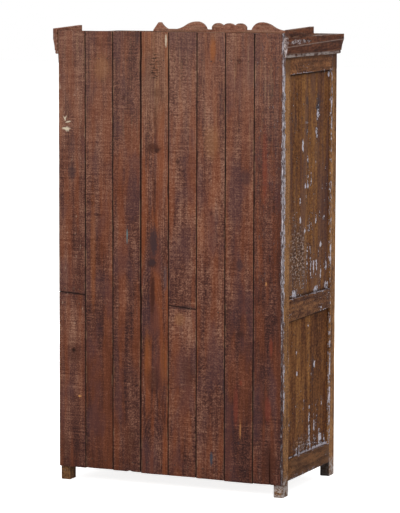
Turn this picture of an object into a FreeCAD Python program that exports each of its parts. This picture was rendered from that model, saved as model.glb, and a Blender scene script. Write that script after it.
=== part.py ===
"""Display cabinet with a boarded back, framed sides, two pairs of doors, a cornice and a sawn crest.

Millimetres, +Z up, the front towards -Y. The origin is on the floor, in the middle of the overall box.
Left and right are as seen from the front, so left is -X.
"""
import FreeCAD, Part
import Sketcher
import os
import re

# Driving sizes
SIZES = {
    # Case and its frame
    "case_width": 1000,
    "case_depth": 573,
    "case_height": 1852,
    "post_width": 42,
    "post_depth": 56,
    "foot_height": 60,
    "bottom_rail_height": 86,
    "middle_rail_level": 710,
    "middle_rail_height": 91,
    "top_rail_height": 148,
    "side_rail_thickness": 28,
    "front_rail_thickness": 36,
    "back_rail_thickness": 30,
    "tenon_thickness": 10,
    "tenon_length": 16,
    "tenon_shoulder": 12,
    "mortise_play": 0.15,
    "mortise_spare": 1,
    # Side panels
    "panel_thickness": 10,
    "panel_recess": 12,
    "groove_depth": 9,
    "groove_play": 0.2,
    "panel_spare": 1,
    "panel_seam": 0.8,
    "upper_panel_seam_place": 36,
    "lower_panel_seam_place": -12,
    # Back boards
    "back_board_thickness": 20,
    "back_board_gap": 3,
    "first_board_setback": 3,
    "back_board_below_rails": 3,
    "back_board_above_case": 19,
    "outer_board_joint": 75,
    "inner_board_joint": 46,
    "board_joint_gap": 1.5,
    # Shelves
    "shelf_thickness": 18,
    "shelf_setback": 44,
    "shelf_side_play": 1,
    "shelf_back_play": 2,
    "cleat_height": 24,
    "cleat_thickness": 18,
    "top_board_drop": 10,
    # Cornice, risers and crest
    "cornice_height": 82,
    "cornice_above_case": 4,
    "cornice_foot_reach": 10,
    "cornice_fascia_reach": 14,
    "cornice_lip_reach": 22,
    "cornice_foot_bead": 12,
    "cornice_bead_swell": 1.5,
    "cornice_step": 3,
    "cornice_lip_bottom": 60,
    "cornice_hollow": 1.2,
    "left_riser_length": 270,
    "left_riser_back_height": 29,
    "left_riser_front_height": 37,
    "right_riser_length": 238,
    "right_riser_back_height": 22,
    "right_riser_front_height": 31,
    "riser_thickness": 17,
    "crest_thickness": 18,
    "crest_setback": 2,
    "crest_shift": -8,
    "crest_half_length": 351,
    "crest_low": 10,
    "crest_horn_height": 38,
    "crest_horn_place": 322,
    "crest_horn_foot": 286,
    "crest_horn_tip": 8.5,
    "crest_horn_tip_drop": 5.5,
    "crest_hump_height": 43,
    "crest_hump_place": 150,
    "crest_hump_outer_foot": 243,
    "crest_hump_inner_foot": 104,
    "crest_shell_half": 78,
    "crest_shell_shoulder": 21,
    "crest_lobe_height": 37,
    "crest_lobe_half": 26.5,
    "crest_lobe_valley": 25,
    "crest_stub_height": 14,
    "dowel_radius": 3,
    "dowel_play": 0.05,
    "dowel_depth": 14,
    "dowel_spare": 1,
    # Doors
    "door_thickness": 22,
    "door_gap": 2.5,
    "door_meeting_gap": 3,
    "door_stile": 55,
    "door_top_rail": 55,
    "door_bottom_rail": 72,
    "door_tenon_thickness": 8,
    "door_tenon_length": 22,
    "door_bevel": 5,
    "door_stop_play": 1.5,
    "rebate_width": 9,
    "rebate_depth": 13,
    "glass_thickness": 3,
    "glass_spare": 1,
    "bead_play": 0.3,
    "door_groove_width": 7,
    "door_groove_front": 8,
    "door_panel_margin": 6,
    "door_panel_field": 7,
    "door_panel_bevel": 38,
    # Hinges
    "hinge_height": 66,
    "hinge_inset": 92,
    "leaf_thickness": 1.5,
    "leaf_play": 0.4,
    "leaf_width": 22,
    "knuckle_radius": 4.2,
    "knuckle_standoff": 0.5,
    "knuckle_play": 0.3,
    "hinge_pin_radius": 2.2,
    "hinge_pin_play": 0.05,
    "hinge_pin_head": 3.4,
    "hinge_pin_head_height": 2.5,
    # Knobs, latches and bolts
    "knob_reach": 28,
    "knob_radius": 13.5,
    "knob_flange_radius": 10,
    "knob_flange": 3,
    "knob_neck_radius": 6.5,
    "knob_tip_radius": 2.5,
    "knob_cove": 2,
    "knob_cheek": 2.2,
    "spindle_end": 2,
    "spindle_radius": 4,
    "spindle_play": 0.06,
    "knob_spigot": 14,
    "tongue_width": 16,
    "tongue_length": 58,
    "tongue_thickness": 5,
    "tongue_standoff": 1.5,
    "bolt_radius": 3.5,
    "bolt_length": 130,
    "bolt_travel": 14,
    "bolt_standoff": 6,
    "bolt_play": 0.06,
    "bolt_hole_play": 0.4,
    "bolt_hole_spare": 3,
    "bolt_below_edge": 1,
    "bolt_thumb_radius": 4,
    "bolt_thumb_reach": 11,
    "guide_width": 18,
    "guide_height": 12,
    "guide_depth": 12,
    "guide_from_top": 22,
    "guide_spacing": 74,
}

doc = FreeCAD.newDocument("display_cabinet")
sheet = doc.addObject("Spreadsheet::Sheet", "Sizes")
for row, (alias, size) in enumerate(SIZES.items(), start=1):
    sheet.set(f"A{row}", alias)
    sheet.set(f"B{row}", str(size))
    sheet.setAlias(f"B{row}", alias)
doc.recompute()

pieces = []


def value(formula):
    """The present number of a formula over the sheet's names."""
    return float(sheet.evalExpression(formula))


def bind(thing, prop, formula):
    """Tie one property to a formula over the sheet's names."""
    names = re.compile(r"[A-Za-z_]\w*")
    tied = names.sub(lambda word: f"Sizes.{word[0]}" if word[0] in SIZES else word[0], formula)
    thing.setExpression(prop, tied)


def place(thing, x, y, z):
    for axis, formula in (("x", x), ("y", y), ("z", z)):
        bind(thing, f"Placement.Base.{axis}", formula)


def block(x, y, z):
    """A box between the low and the high formula of each axis."""
    box = doc.addObject("Part::Box", "block")
    for prop, span in (("Length", x), ("Width", y), ("Height", z)):
        bind(box, prop, f"({span[1]}) - ({span[0]})")
    place(box, x[0], y[0], z[0])
    return box


def rod(radius, centre, span, axis="z"):
    """A cylinder along one axis, between two formulas, at the centre given for the other two axes."""
    cylinder = doc.addObject("Part::Cylinder", "rod")
    bind(cylinder, "Radius", radius)
    bind(cylinder, "Height", f"({span[1]}) - ({span[0]})")
    if axis == "y":
        cylinder.Placement.Rotation = FreeCAD.Rotation(FreeCAD.Vector(1, 0, 0), -90)
        place(cylinder, centre[0], span[0], centre[1])
    else:
        place(cylinder, centre[0], centre[1], span[0])
    return cylinder


def fuse(*parts):
    joined = doc.addObject("Part::MultiFuse", "fuse")
    joined.Shapes = list(parts)
    joined.Refine = True
    return joined


def cut(base, *tools):
    taken = doc.addObject("Part::Cut", "cut")
    taken.Base = base
    if len(tools) == 1:
        taken.Tool = tools[0]
    else:
        bunch = doc.addObject("Part::Compound", "tools")
        bunch.Links = list(tools)
        taken.Tool = bunch
    taken.Refine = True
    return taken


def group(*parts):
    bunch = doc.addObject("Part::Compound", "group")
    bunch.Links = list(parts)
    return bunch


def keep(label, thing):
    """Name a finished sub-part; its label is its file name."""
    thing.Label = label
    pieces.append(thing)
    return thing


def mirrored(side, span):
    """A span of X on the right, or the same span on the left."""
    if side == "right":
        return span
    return f"-({span[1]})", f"-({span[0]})"


def across(side, formula):
    return formula if side == "right" else f"-({formula})"


def profile(body, role, corners):
    """A closed sketch on one of the body's planes; every corner is tied to its two formulas.

    A corner is (across, up), or (across, up, (across, up)) where an arc through the last point leads on.
    """
    plane = [feature for feature in body.Origin.OriginFeatures if feature.Role == role][0]
    sketch = body.newObject("Sketcher::SketchObject", "outline")
    sketch.AttachmentSupport = (plane, [""])
    sketch.MapMode = "FlatFace"
    spots = [FreeCAD.Vector(value(corner[0]), value(corner[1]), 0) for corner in corners]
    ends = []
    for number, corner in enumerate(corners):
        start = spots[number]
        finish = spots[(number + 1) % len(corners)]
        if len(corner) == 3:
            via = FreeCAD.Vector(value(corner[2][0]), value(corner[2][1]), 0)
            edge = sketch.addGeometry(Part.ArcOfCircle(start, via, finish))
        else:
            edge = sketch.addGeometry(Part.LineSegment(start, finish))
        forward = sketch.getPoint(edge, 1).distanceToPoint(start) < 1e-6
        ends.append((edge, 1 if forward else 2, 2 if forward else 1))
    for number, (edge, first, _) in enumerate(ends):
        before, _, last = ends[number - 1]
        sketch.addConstraint(Sketcher.Constraint("Coincident", before, last, edge, first))
        tie_point(sketch, edge, first, corners[number])
    for number, corner in enumerate(corners):
        if len(corner) == 3:
            via = FreeCAD.Vector(value(corner[2][0]), value(corner[2][1]), 0)
            mark = sketch.addGeometry(Part.Point(via), True)
            tie_point(sketch, mark, 1, corner[2])
            sketch.addConstraint(Sketcher.Constraint("PointOnObject", mark, 1, ends[number][0]))
    return sketch


def tie_point(sketch, edge, end, corner):
    for kind, axis, formula in (("DistanceX", -2, corner[0]), ("DistanceY", -1, corner[1])):
        if formula == "0":
            sketch.addConstraint(Sketcher.Constraint("PointOnObject", edge, end, axis))
        else:
            tie = sketch.addConstraint(Sketcher.Constraint(kind, -1, 1, edge, end, value(formula)))
            bind(sketch, f"Constraints[{tie}]", formula)


def pad(body, sketch, length, backwards=False):
    feature = body.newObject("PartDesign::Pad", "pad")
    feature.Profile = sketch
    feature.Reversed = backwards
    bind(feature, "Length", length)
    sketch.Visibility = False
    return feature


def pocket(body, sketch):
    """Take the outline away through the whole body, both ways."""
    feature = body.newObject("PartDesign::Pocket", "pocket")
    feature.Profile = sketch
    feature.Type = "ThroughAll"
    feature.Midplane = True
    sketch.Visibility = False
    return feature


# Planes that the rest of the cabinet is set out from
HALF = "case_width/2"
BACK = "(case_depth + knob_reach - back_board_thickness)/2"
FRONT = f"({BACK} - case_depth)"
INNER = f"({HALF} - post_width)"
POST_BACK = f"({FRONT} + post_depth)"
POST_FRONT = f"({BACK} - post_depth)"
BOTTOM_TOP = "(foot_height + bottom_rail_height)"
MIDDLE_TOP = "(middle_rail_level + middle_rail_height)"
TOP_LOW = "(case_height - top_rail_height)"
LEVELS = {
    "bottom": ("foot_height", BOTTOM_TOP),
    "middle": ("middle_rail_level", MIDDLE_TOP),
    "top": (TOP_LOW, "case_height"),
}

# Tenons and their mortises. Each is a box; the mortise is the same box with its play and spare length.
SIDE_TENON = (f"{HALF} - panel_recess - tenon_thickness", f"{HALF} - panel_recess")


def tenon_height(level, play="0"):
    low, high = LEVELS[level]
    return f"{low} + tenon_shoulder - {play}", f"{high} - tenon_shoulder + {play}"


def grown(span, play):
    return f"{span[0]} - {play}", f"{span[1]} + {play}"


def side_tenon(side, level, end):
    depth = (POST_FRONT, f"{POST_FRONT} + tenon_length")
    if end == "front":
        depth = (f"{POST_BACK} - tenon_length", POST_BACK)
    return block(mirrored(side, SIDE_TENON), depth, tenon_height(level))


def side_mortise(side, level, end):
    across_span = mirrored(side, grown(SIDE_TENON, "mortise_play"))
    height = tenon_height(level, "mortise_play")
    if end == "front":
        return block(across_span, (f"{POST_BACK} - tenon_length - mortise_spare", POST_BACK), height)
    return block(across_span, (POST_FRONT, f"{POST_FRONT} + tenon_length + mortise_spare"), height)


# Front and back rails are tenoned into the inner faces of the posts, short of the side tenons.
FACE_RAILS = {
    "front": (FRONT, f"{FRONT} + front_rail_thickness"),
    "back": (f"{BACK} - back_rail_thickness", BACK),
}


def face_tenon_depth(face, play="0"):
    low, high = FACE_RAILS[face]
    middle = f"(({low}) + ({high}))/2"
    return f"{middle} - tenon_thickness/2 - {play}", f"{middle} + tenon_thickness/2 + {play}"


def face_rail(face, level):
    span = (f"-{INNER} - tenon_length", f"{INNER} + tenon_length")
    rail = block((f"-{INNER}", INNER), FACE_RAILS[face], LEVELS[level])
    return fuse(rail, block(span, face_tenon_depth(face), tenon_height(level)))


def face_mortise(side, face, level):
    span = mirrored(side, (INNER, f"{INNER} + tenon_length + mortise_spare"))
    return block(span, face_tenon_depth(face, "mortise_play"), tenon_height(level, "mortise_play"))


# Grooves for the side panels, in line with the tenons
GROOVE = (f"{HALF} - panel_recess - panel_thickness - groove_play", f"{HALF} - panel_recess + groove_play")
PANEL = (f"{HALF} - panel_recess - panel_thickness", f"{HALF} - panel_recess")
PANEL_BAYS = {"lower": (BOTTOM_TOP, "middle_rail_level"), "upper": (MIDDLE_TOP, TOP_LOW)}

# Posts
for face in ("front", "back"):
    for side in ("left", "right"):
        if face == "front":
            depth = (FRONT, POST_BACK)
            groove_depth_span = (f"{POST_BACK} - groove_depth", POST_BACK)
        else:
            depth = (POST_FRONT, BACK)
            groove_depth_span = (POST_FRONT, f"{POST_FRONT} + groove_depth")
        post = block(mirrored(side, (INNER, HALF)), depth, ("0", "case_height"))
        tools = [
            block(mirrored(side, GROOVE), groove_depth_span, grown(bay, "groove_depth"))
            for bay in PANEL_BAYS.values()
        ]
        for level in LEVELS:
            tools.append(side_mortise(side, level, face))
            tools.append(face_mortise(side, face, level))
        keep(f"{face}_{side}_post", cut(post, *tools))

# Side rails, with tenons at both ends and grooves along the edges that face a panel
for side in ("left", "right"):
    rails = []
    for level, height in LEVELS.items():
        rail_across = mirrored(side, (f"{HALF} - side_rail_thickness", HALF))
        rail = block(rail_across, (POST_BACK, POST_FRONT), height)
        rail = fuse(rail, side_tenon(side, level, "front"), side_tenon(side, level, "back"))
        tools = []
        if level != "bottom":
            tools.append((height[0], f"{height[0]} + groove_depth"))
        if level != "top":
            tools.append((f"{height[1]} - groove_depth", height[1]))
        grooves = [block(mirrored(side, GROOVE), (POST_BACK, POST_FRONT), span) for span in tools]
        rails.append(cut(rail, *grooves))
    keep(f"{side}_side_rails", group(*rails))

# Side panels: two boards in each bay, with a seam between them
for side in ("left", "right"):
    for bay, (low, high) in PANEL_BAYS.items():
        reach = "(groove_depth - panel_spare)"
        seam = f"(({FRONT}) + ({BACK}))/2 + {bay}_panel_seam_place"
        height = (f"{low} - {reach}", f"{high} + {reach}")
        fore = block(mirrored(side, PANEL), (f"{POST_BACK} - {reach}", f"{seam} - panel_seam/2"), height)
        rear = block(mirrored(side, PANEL), (f"{seam} + panel_seam/2", f"{POST_FRONT} + {reach}"), height)
        keep(f"{side}_{bay}_panel", group(fore, rear))

# Back rails
keep("back_rails", group(*[face_rail("back", level) for level in LEVELS]))

# Back boards, counted from the right. The first is ripped a little narrower than the rest. The first and the
# fifth are pieced from two lengths, which meet on the middle rail.
BOARD_DEPTH = (BACK, f"{BACK} + back_board_thickness")
BOARD_FOOT = "(foot_height - back_board_below_rails)"
BOARD_TOP = "(case_height + back_board_above_case)"
PIECED = {1: "(middle_rail_level + outer_board_joint)", 5: "(middle_rail_level + inner_board_joint)"}
BOARD_COUNT = 8
for number in range(1, BOARD_COUNT + 1):
    high_x = f"{HALF} - {number - 1}*case_width/{BOARD_COUNT} - back_board_gap/2"
    if number == 1:
        high_x = f"{HALF} - first_board_setback"
    low_x = f"{HALF} - {number}*case_width/{BOARD_COUNT} + back_board_gap/2"
    if number in PIECED:
        joint = PIECED[number]
        lower = block((low_x, high_x), BOARD_DEPTH, (BOARD_FOOT, f"{joint} - board_joint_gap/2"))
        upper = block((low_x, high_x), BOARD_DEPTH, (f"{joint} + board_joint_gap/2", BOARD_TOP))
        keep(f"back_board_{number}", group(lower, upper))
    else:
        keep(f"back_board_{number}", block((low_x, high_x), BOARD_DEPTH, (BOARD_FOOT, BOARD_TOP)))

# Front rails. The top and the middle one take the tips of the bolts.
BOLT_X = "-(door_meeting_gap/2 + door_stile/2)"
BOLT_Y = f"{FRONT} + door_thickness + bolt_standoff"
for level in LEVELS:
    rail = face_rail("front", level)
    if level != "bottom":
        low = LEVELS[level][0]
        hole = (low, f"{low} + bolt_travel + bolt_hole_spare")
        rail = cut(rail, rod("bolt_radius + bolt_hole_play", (BOLT_X, BOLT_Y), hole))
    keep(f"front_{level}_rail", rail)

# Shelves, floor and top are notched round the posts, so that they reach out to the panels or rails.
STOP = f"{FRONT} + door_thickness + door_stop_play"
TO_BACK = f"{BACK} - shelf_back_play"
TO_PANEL = f"({HALF} - panel_recess - panel_thickness - shelf_side_play)"
TO_RAIL = f"({HALF} - side_rail_thickness - shelf_side_play)"
BETWEEN = (f"-{INNER} + shelf_side_play", f"{INNER} - shelf_side_play")
BETWEEN_POSTS = (f"{POST_BACK} + shelf_side_play", f"{POST_FRONT} - shelf_side_play")


def notched_board(depth, reach, level):
    height = (level, f"{level} + shelf_thickness")
    return fuse(block(BETWEEN, depth, height), block((f"-{reach}", reach), BETWEEN_POSTS, height))


# The floor and the fixed shelf lie on the front and back rails and stop the doors at their lower edges.
keep("bottom_board", notched_board((STOP, TO_BACK), TO_PANEL, BOTTOM_TOP))
keep("fixed_shelf", notched_board((STOP, TO_BACK), TO_PANEL, MIDDLE_TOP))

# Loose shelves: two that share the upper space evenly, one halfway up the lower space
UPPER_FLOOR = f"({MIDDLE_TOP} + shelf_thickness)"
LOWER_FLOOR = f"({BOTTOM_TOP} + shelf_thickness)"
TOP_BOARD = "(case_height - top_board_drop - shelf_thickness)"
UPPER_STEP = f"({TOP_BOARD} - {UPPER_FLOOR})/3"
LOWER_STEP = f"(middle_rail_level - {LOWER_FLOOR})/2"
SHELF_LEVELS = [
    f"{UPPER_FLOOR} + {UPPER_STEP}",
    f"{UPPER_FLOOR} + 2*{UPPER_STEP}",
    f"{LOWER_FLOOR} + {LOWER_STEP}",
]
SHELF_FRONT = f"{FRONT} + shelf_setback"

shelves = [notched_board((SHELF_FRONT, TO_BACK), TO_PANEL, level) for level in SHELF_LEVELS]
keep("upper_shelves", group(*shelves[:2]))
keep("lower_shelf", shelves[2])

# Top board, inside the frame behind the cornice
TOP_DEPTH = (FACE_RAILS["front"][1], FACE_RAILS["back"][0])
keep("top_board", notched_board(TOP_DEPTH, TO_RAIL, TOP_BOARD))

# Cleats on the inner faces of the posts, under the loose shelves and the top board
cleats = []
for level in SHELF_LEVELS + [TOP_BOARD]:
    for side in ("left", "right"):
        span = mirrored(side, (f"{INNER} - cleat_thickness", INNER))
        cleats.append(block(span, (SHELF_FRONT, FACE_RAILS["back"][0]), (f"{level} - cleat_height", level)))
keep("shelf_cleats", group(*cleats))

# Cornice: one moulding profile, mitred at the two front corners. The profile's foot is at the case.
CORNICE_LOW = "(case_height + cornice_above_case - cornice_height)"
CORNICE_TOP = "(case_height + cornice_above_case)"
CORNICE_PROFILE = [
    ("0", "0"),
    ("cornice_foot_reach", "0", ("cornice_foot_reach + cornice_bead_swell", "cornice_foot_bead/2")),
    ("cornice_foot_reach", "cornice_foot_bead"),
    (
        "cornice_fascia_reach",
        "cornice_foot_bead + cornice_step",
        (
            "(cornice_fascia_reach + cornice_lip_reach)/2 - cornice_hollow",
            "(cornice_foot_bead + cornice_step + cornice_lip_bottom)/2",
        ),
    ),
    ("cornice_lip_reach", "cornice_lip_bottom"),
    ("cornice_lip_reach", "cornice_height"),
    ("0", "cornice_height"),
]
SIDE_RUN = f"({BACK} + back_board_thickness - {FRONT} + cornice_lip_reach)"
FRONT_RUN = "(case_width + 2*cornice_lip_reach)"

side_cornice = doc.addObject("PartDesign::Body", "side_cornice")
pad(side_cornice, profile(side_cornice, "XZ_Plane", CORNICE_PROFILE), SIDE_RUN, backwards=True)
doc.recompute()
MITRE_OVER = [("0", "0"), ("cornice_lip_reach", "0"), ("0", "cornice_lip_reach")]
pocket(side_cornice, profile(side_cornice, "XY_Plane", MITRE_OVER))
place(side_cornice, HALF, f"{FRONT} - cornice_lip_reach", CORNICE_LOW)
keep("right_cornice", side_cornice)

left_cornice = doc.addObject("Part::Mirroring", "left_cornice")
left_cornice.Source = side_cornice
left_cornice.Normal = FreeCAD.Vector(1, 0, 0)
keep("left_cornice", left_cornice)

front_moulding = doc.addObject("PartDesign::Body", "front_moulding")
pad(front_moulding, profile(front_moulding, "XZ_Plane", CORNICE_PROFILE), FRONT_RUN, backwards=True)
doc.recompute()
pocket(front_moulding, profile(front_moulding, "XY_Plane", MITRE_OVER))
doc.recompute()
far_mitre = [
    ("0", FRONT_RUN),
    ("0", f"{FRONT_RUN} - cornice_lip_reach"),
    ("cornice_lip_reach", FRONT_RUN),
]
pocket(front_moulding, profile(front_moulding, "XY_Plane", far_mitre))
front_moulding.Placement.Rotation = FreeCAD.Rotation(FreeCAD.Vector(0, 0, 1), -90)
place(front_moulding, f"-{HALF} - cornice_lip_reach", FRONT, CORNICE_LOW)

# Crest: a sawn board with a three-lobed shell between two humps, and a horn at the right end.
# The horn at the left end is broken off, so only a low stub is left of it.
MID = "crest_half_length"
HUMP_FALL = "(crest_hump_outer_foot - crest_hump_place)"
HUMP_RISE = "(crest_hump_height - crest_low)"
HUMP_STEP = "(crest_hump_place - crest_hump_inner_foot)"
SHELL_SIDE = "(crest_shell_half - crest_lobe_half)"


def crest_point(sign, along, height, via=None):
    """A corner of the crest at a distance to one side of its middle."""
    spot = (f"{MID} {sign} ({along})", height)
    if via is None:
        return spot
    return spot + ((f"{MID} {sign} ({via[0]})", via[1]),)


SLOPE = (f"crest_hump_place + 0.54*{HUMP_FALL}", f"crest_low + 0.5*{HUMP_RISE}")
SLOPE_LOW = (f"crest_hump_place + 0.78*{HUMP_FALL}", f"crest_low + 0.16*{HUMP_RISE}")
SLOPE_HIGH = (f"crest_hump_place + 0.28*{HUMP_FALL}", f"crest_low + 0.86*{HUMP_RISE}")
SHOULDER = (f"crest_hump_inner_foot + 0.42*{HUMP_STEP}", f"crest_low + 0.76*{HUMP_RISE}")
LOBE = (f"crest_lobe_half + 0.4*{SHELL_SIDE}", "crest_lobe_height")
HORN_TIP = "crest_horn_height - crest_horn_tip_drop"
HORN_SIDE = (
    "crest_horn_foot + 0.44*(crest_horn_place - crest_horn_tip - crest_horn_foot)",
    "crest_low + 0.33*(crest_horn_height - crest_horn_tip_drop - crest_low)",
)
HORN_PEAK = ("crest_horn_place", "crest_horn_height")
CREST_OUTLINE = [
    ("0", "0"),
    (f"2*{MID}", "0"),
    (f"2*{MID}", "crest_low/2"),
    crest_point("+", "crest_horn_place + crest_horn_tip", HORN_TIP, HORN_PEAK),
    crest_point("+", "crest_horn_place - crest_horn_tip", HORN_TIP, HORN_SIDE),
    crest_point("+", "crest_horn_foot", "crest_low"),
    crest_point("+", "crest_hump_outer_foot", "crest_low", SLOPE_LOW),
    crest_point("+", *SLOPE, SLOPE_HIGH),
    crest_point("+", "crest_hump_place", "crest_hump_height", SHOULDER),
    crest_point("+", "crest_hump_inner_foot", "crest_low"),
    crest_point("+", "crest_shell_half", "crest_low"),
    crest_point("+", "crest_shell_half", "crest_shell_shoulder", LOBE),
    crest_point("+", "crest_lobe_half", "crest_lobe_valley", ("0", "crest_lobe_height")),
    crest_point("-", "crest_lobe_half", "crest_lobe_valley", LOBE),
    crest_point("-", "crest_shell_half", "crest_shell_shoulder"),
    crest_point("-", "crest_shell_half", "crest_low"),
    crest_point("-", "crest_hump_inner_foot", "crest_low", SHOULDER),
    crest_point("-", "crest_hump_place", "crest_hump_height", SLOPE_HIGH),
    crest_point("-", *SLOPE, SLOPE_LOW),
    crest_point("-", "crest_hump_outer_foot", "crest_low"),
    crest_point("-", "crest_horn_foot", "crest_low"),
    crest_point("-", "crest_horn_place - crest_horn_tip", "crest_stub_height"),
    crest_point("-", "crest_horn_place + crest_horn_tip", "0.6*crest_stub_height"),
    ("0", "0.4*crest_low"),
]
crest_board = doc.addObject("PartDesign::Body", "crest_board")
pad(crest_board, profile(crest_board, "XZ_Plane", CREST_OUTLINE), "crest_thickness", backwards=True)
CREST_FACE = f"({FRONT} - cornice_lip_reach + crest_setback)"
place(crest_board, f"crest_shift - {MID}", CREST_FACE, CORNICE_TOP)

# Three dowels hold the crest on the front cornice.
DOWEL_Y = f"{CREST_FACE} + crest_thickness/2"
dowels = []
crest_holes = []
cornice_holes = []
for offset in ("- crest_hump_place", "", "+ crest_hump_place"):
    spot = (f"crest_shift {offset}", DOWEL_Y)
    low = f"{CORNICE_TOP} - dowel_depth"
    high = f"{CORNICE_TOP} + dowel_depth"
    dowels.append(rod("dowel_radius", spot, (low, high)))
    crest_holes.append(rod("dowel_radius + dowel_play", spot, (CORNICE_TOP, f"{high} + dowel_spare")))
    cornice_holes.append(rod("dowel_radius + dowel_play", spot, (f"{low} - dowel_spare", CORNICE_TOP)))
keep("crest", cut(crest_board, *crest_holes))
keep("front_cornice", cut(front_moulding, *cornice_holes))
keep("crest_dowels", group(*dowels))

# Risers: low boards on the rear half of the side cornices, higher at the front end than at the back. The two
# were cut by eye, so each has its own length and heights.
RISER_PLACES = {
    "left": f"-{HALF} - cornice_lip_reach",
    "right": f"{HALF} + cornice_lip_reach - riser_thickness",
}
for side, outer in RISER_PLACES.items():
    riser = doc.addObject("PartDesign::Body", f"{side}_riser_board")
    riser_outline = [
        ("0", "0"),
        (f"{side}_riser_length", "0"),
        (f"{side}_riser_length", f"{side}_riser_back_height"),
        ("0", f"{side}_riser_front_height"),
    ]
    pad(riser, profile(riser, "YZ_Plane", riser_outline), "riser_thickness")
    place(riser, outer, f"{BACK} + back_board_thickness - {side}_riser_length", CORNICE_TOP)
    keep(f"{side}_riser", riser)

# Doors: set flush between the posts, with the hinge leaves in the gap beside the posts
HINGE_GAP = "(2*leaf_thickness + leaf_play)"
DOOR_DEPTH = (FRONT, f"{FRONT} + door_thickness")
DOOR_ACROSS = ("door_meeting_gap/2", f"({INNER} - {HINGE_GAP})")
OPEN_ACROSS = (f"({DOOR_ACROSS[0]} + door_stile)", f"({DOOR_ACROSS[1]} - door_stile)")
STILE_MIDDLE = "(door_meeting_gap/2 + door_stile/2)"
DOOR_BAYS = {"lower": (BOTTOM_TOP, "middle_rail_level"), "upper": (MIDDLE_TOP, TOP_LOW)}


def door_height(level):
    return f"({DOOR_BAYS[level][0]} + door_gap)", f"({DOOR_BAYS[level][1]} - door_gap)"


def open_height(level):
    low, high = door_height(level)
    return f"({low} + door_bottom_rail)", f"({high} - door_top_rail)"


def knob_height(level):
    low, high = door_height(level)
    return f"(({low} + {high})/2)"


def taper(near, near_x, near_z, far, far_x, far_z):
    """A block whose outline changes evenly from one plane of Y to another."""
    wedge = doc.addObject("Part::Wedge", "taper")
    edges = {
        "Ymin": near,
        "Xmin": near_x[0],
        "Xmax": near_x[1],
        "Zmin": near_z[0],
        "Zmax": near_z[1],
        "Ymax": far,
        "X2min": far_x[0],
        "X2max": far_x[1],
        "Z2min": far_z[0],
        "Z2max": far_z[1],
    }
    for prop, formula in edges.items():
        setattr(wedge, prop, value(formula))
        bind(wedge, prop, formula)
    return wedge


def door_frame(side, level):
    """Two stiles and two rails, with a groove or a rebate round the opening and a bevel on its front."""
    low, high = door_height(level)
    opening_x = mirrored(side, OPEN_ACROSS)
    opening_z = open_height(level)
    meeting = (DOOR_ACROSS[0], f"{DOOR_ACROSS[0]} + door_stile")
    hanging = (f"{DOOR_ACROSS[1]} - door_stile", DOOR_ACROSS[1])
    tenon_y = (
        f"{FRONT} + door_thickness/2 - door_tenon_thickness/2",
        f"{FRONT} + door_thickness/2 + door_tenon_thickness/2",
    )
    rail_heights = ((low, opening_z[0]), (opening_z[1], high))
    rails = []
    mortises = []
    for rail_low, rail_high in rail_heights:
        tenon_z = (f"{rail_low} + tenon_shoulder", f"{rail_high} - tenon_shoulder")
        tenon = block(grown(opening_x, "door_tenon_length"), tenon_y, tenon_z)
        rails.append(fuse(block(opening_x, DOOR_DEPTH, (rail_low, rail_high)), tenon))
        reach = grown(opening_x, "(door_tenon_length + mortise_spare)")
        mortises.append(block(reach, grown(tenon_y, "mortise_play"), grown(tenon_z, "mortise_play")))
    around = (grown(opening_x, "rebate_width"), grown(opening_z, "rebate_width"))
    if level == "upper":
        sunk = block(around[0], (f"{DOOR_DEPTH[1]} - rebate_depth", DOOR_DEPTH[1]), around[1])
    else:
        groove_front = f"{FRONT} + door_groove_front"
        sunk = block(around[0], (groove_front, f"{groove_front} + door_groove_width"), around[1])
    bevel = taper(
        FRONT,
        grown(opening_x, "door_bevel"),
        grown(opening_z, "door_bevel"),
        f"{FRONT} + door_bevel",
        opening_x,
        opening_z,
    )
    depth = "door_thickness" if side == "right" else "(knob_spigot + mortise_spare)"
    hole = rod(
        "spindle_radius + spindle_play",
        (across(side, STILE_MIDDLE), knob_height(level)),
        (FRONT, f"{FRONT} + {depth}"),
        axis="y",
    )
    members = [
        cut(block(mirrored(side, meeting), DOOR_DEPTH, (low, high)), sunk, bevel, hole, *mortises),
        cut(block(mirrored(side, hanging), DOOR_DEPTH, (low, high)), sunk, bevel, *mortises),
    ]
    members.extend(cut(rail, sunk, bevel) for rail in rails)
    return group(*members)


def glass_pane(side):
    front = f"{DOOR_DEPTH[1]} - rebate_depth"
    return block(
        grown(mirrored(side, OPEN_ACROSS), "(rebate_width - glass_spare)"),
        (front, f"{front} + glass_thickness"),
        grown(open_height("upper"), "(rebate_width - glass_spare)"),
    )


def glazing_beads(side):
    x = mirrored(side, OPEN_ACROSS)
    z = open_height("upper")
    depth = (f"{DOOR_DEPTH[1]} - rebate_depth + glass_thickness", DOOR_DEPTH[1])
    tall = grown(z, "rebate_width")
    wide = grown(x, "bead_play")
    return group(
        block((f"{x[0]} - rebate_width", f"{x[0]} - bead_play"), depth, tall),
        block((f"{x[1]} + bead_play", f"{x[1]} + rebate_width"), depth, tall),
        block(wide, depth, (f"{z[0]} - rebate_width", f"{z[0]} - bead_play")),
        block(wide, depth, (f"{z[1]} + bead_play", f"{z[1]} + rebate_width")),
    )


def raised_panel(side):
    x = mirrored(side, OPEN_ACROSS)
    z = open_height("lower")
    face = f"({FRONT} + door_groove_front + groove_play)"
    depth = (face, f"{FRONT} + door_groove_front + door_groove_width - groove_play")
    plate = block(grown(x, "(rebate_width - glass_spare)"), depth, grown(z, "(rebate_width - glass_spare)"))
    inner = "(-door_panel_margin - door_panel_bevel)"
    outer = "(-door_panel_margin)"
    field = taper(
        f"{face} - door_panel_field", grown(x, inner), grown(z, inner), face, grown(x, outer), grown(z, outer)
    )
    return fuse(plate, field)


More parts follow.
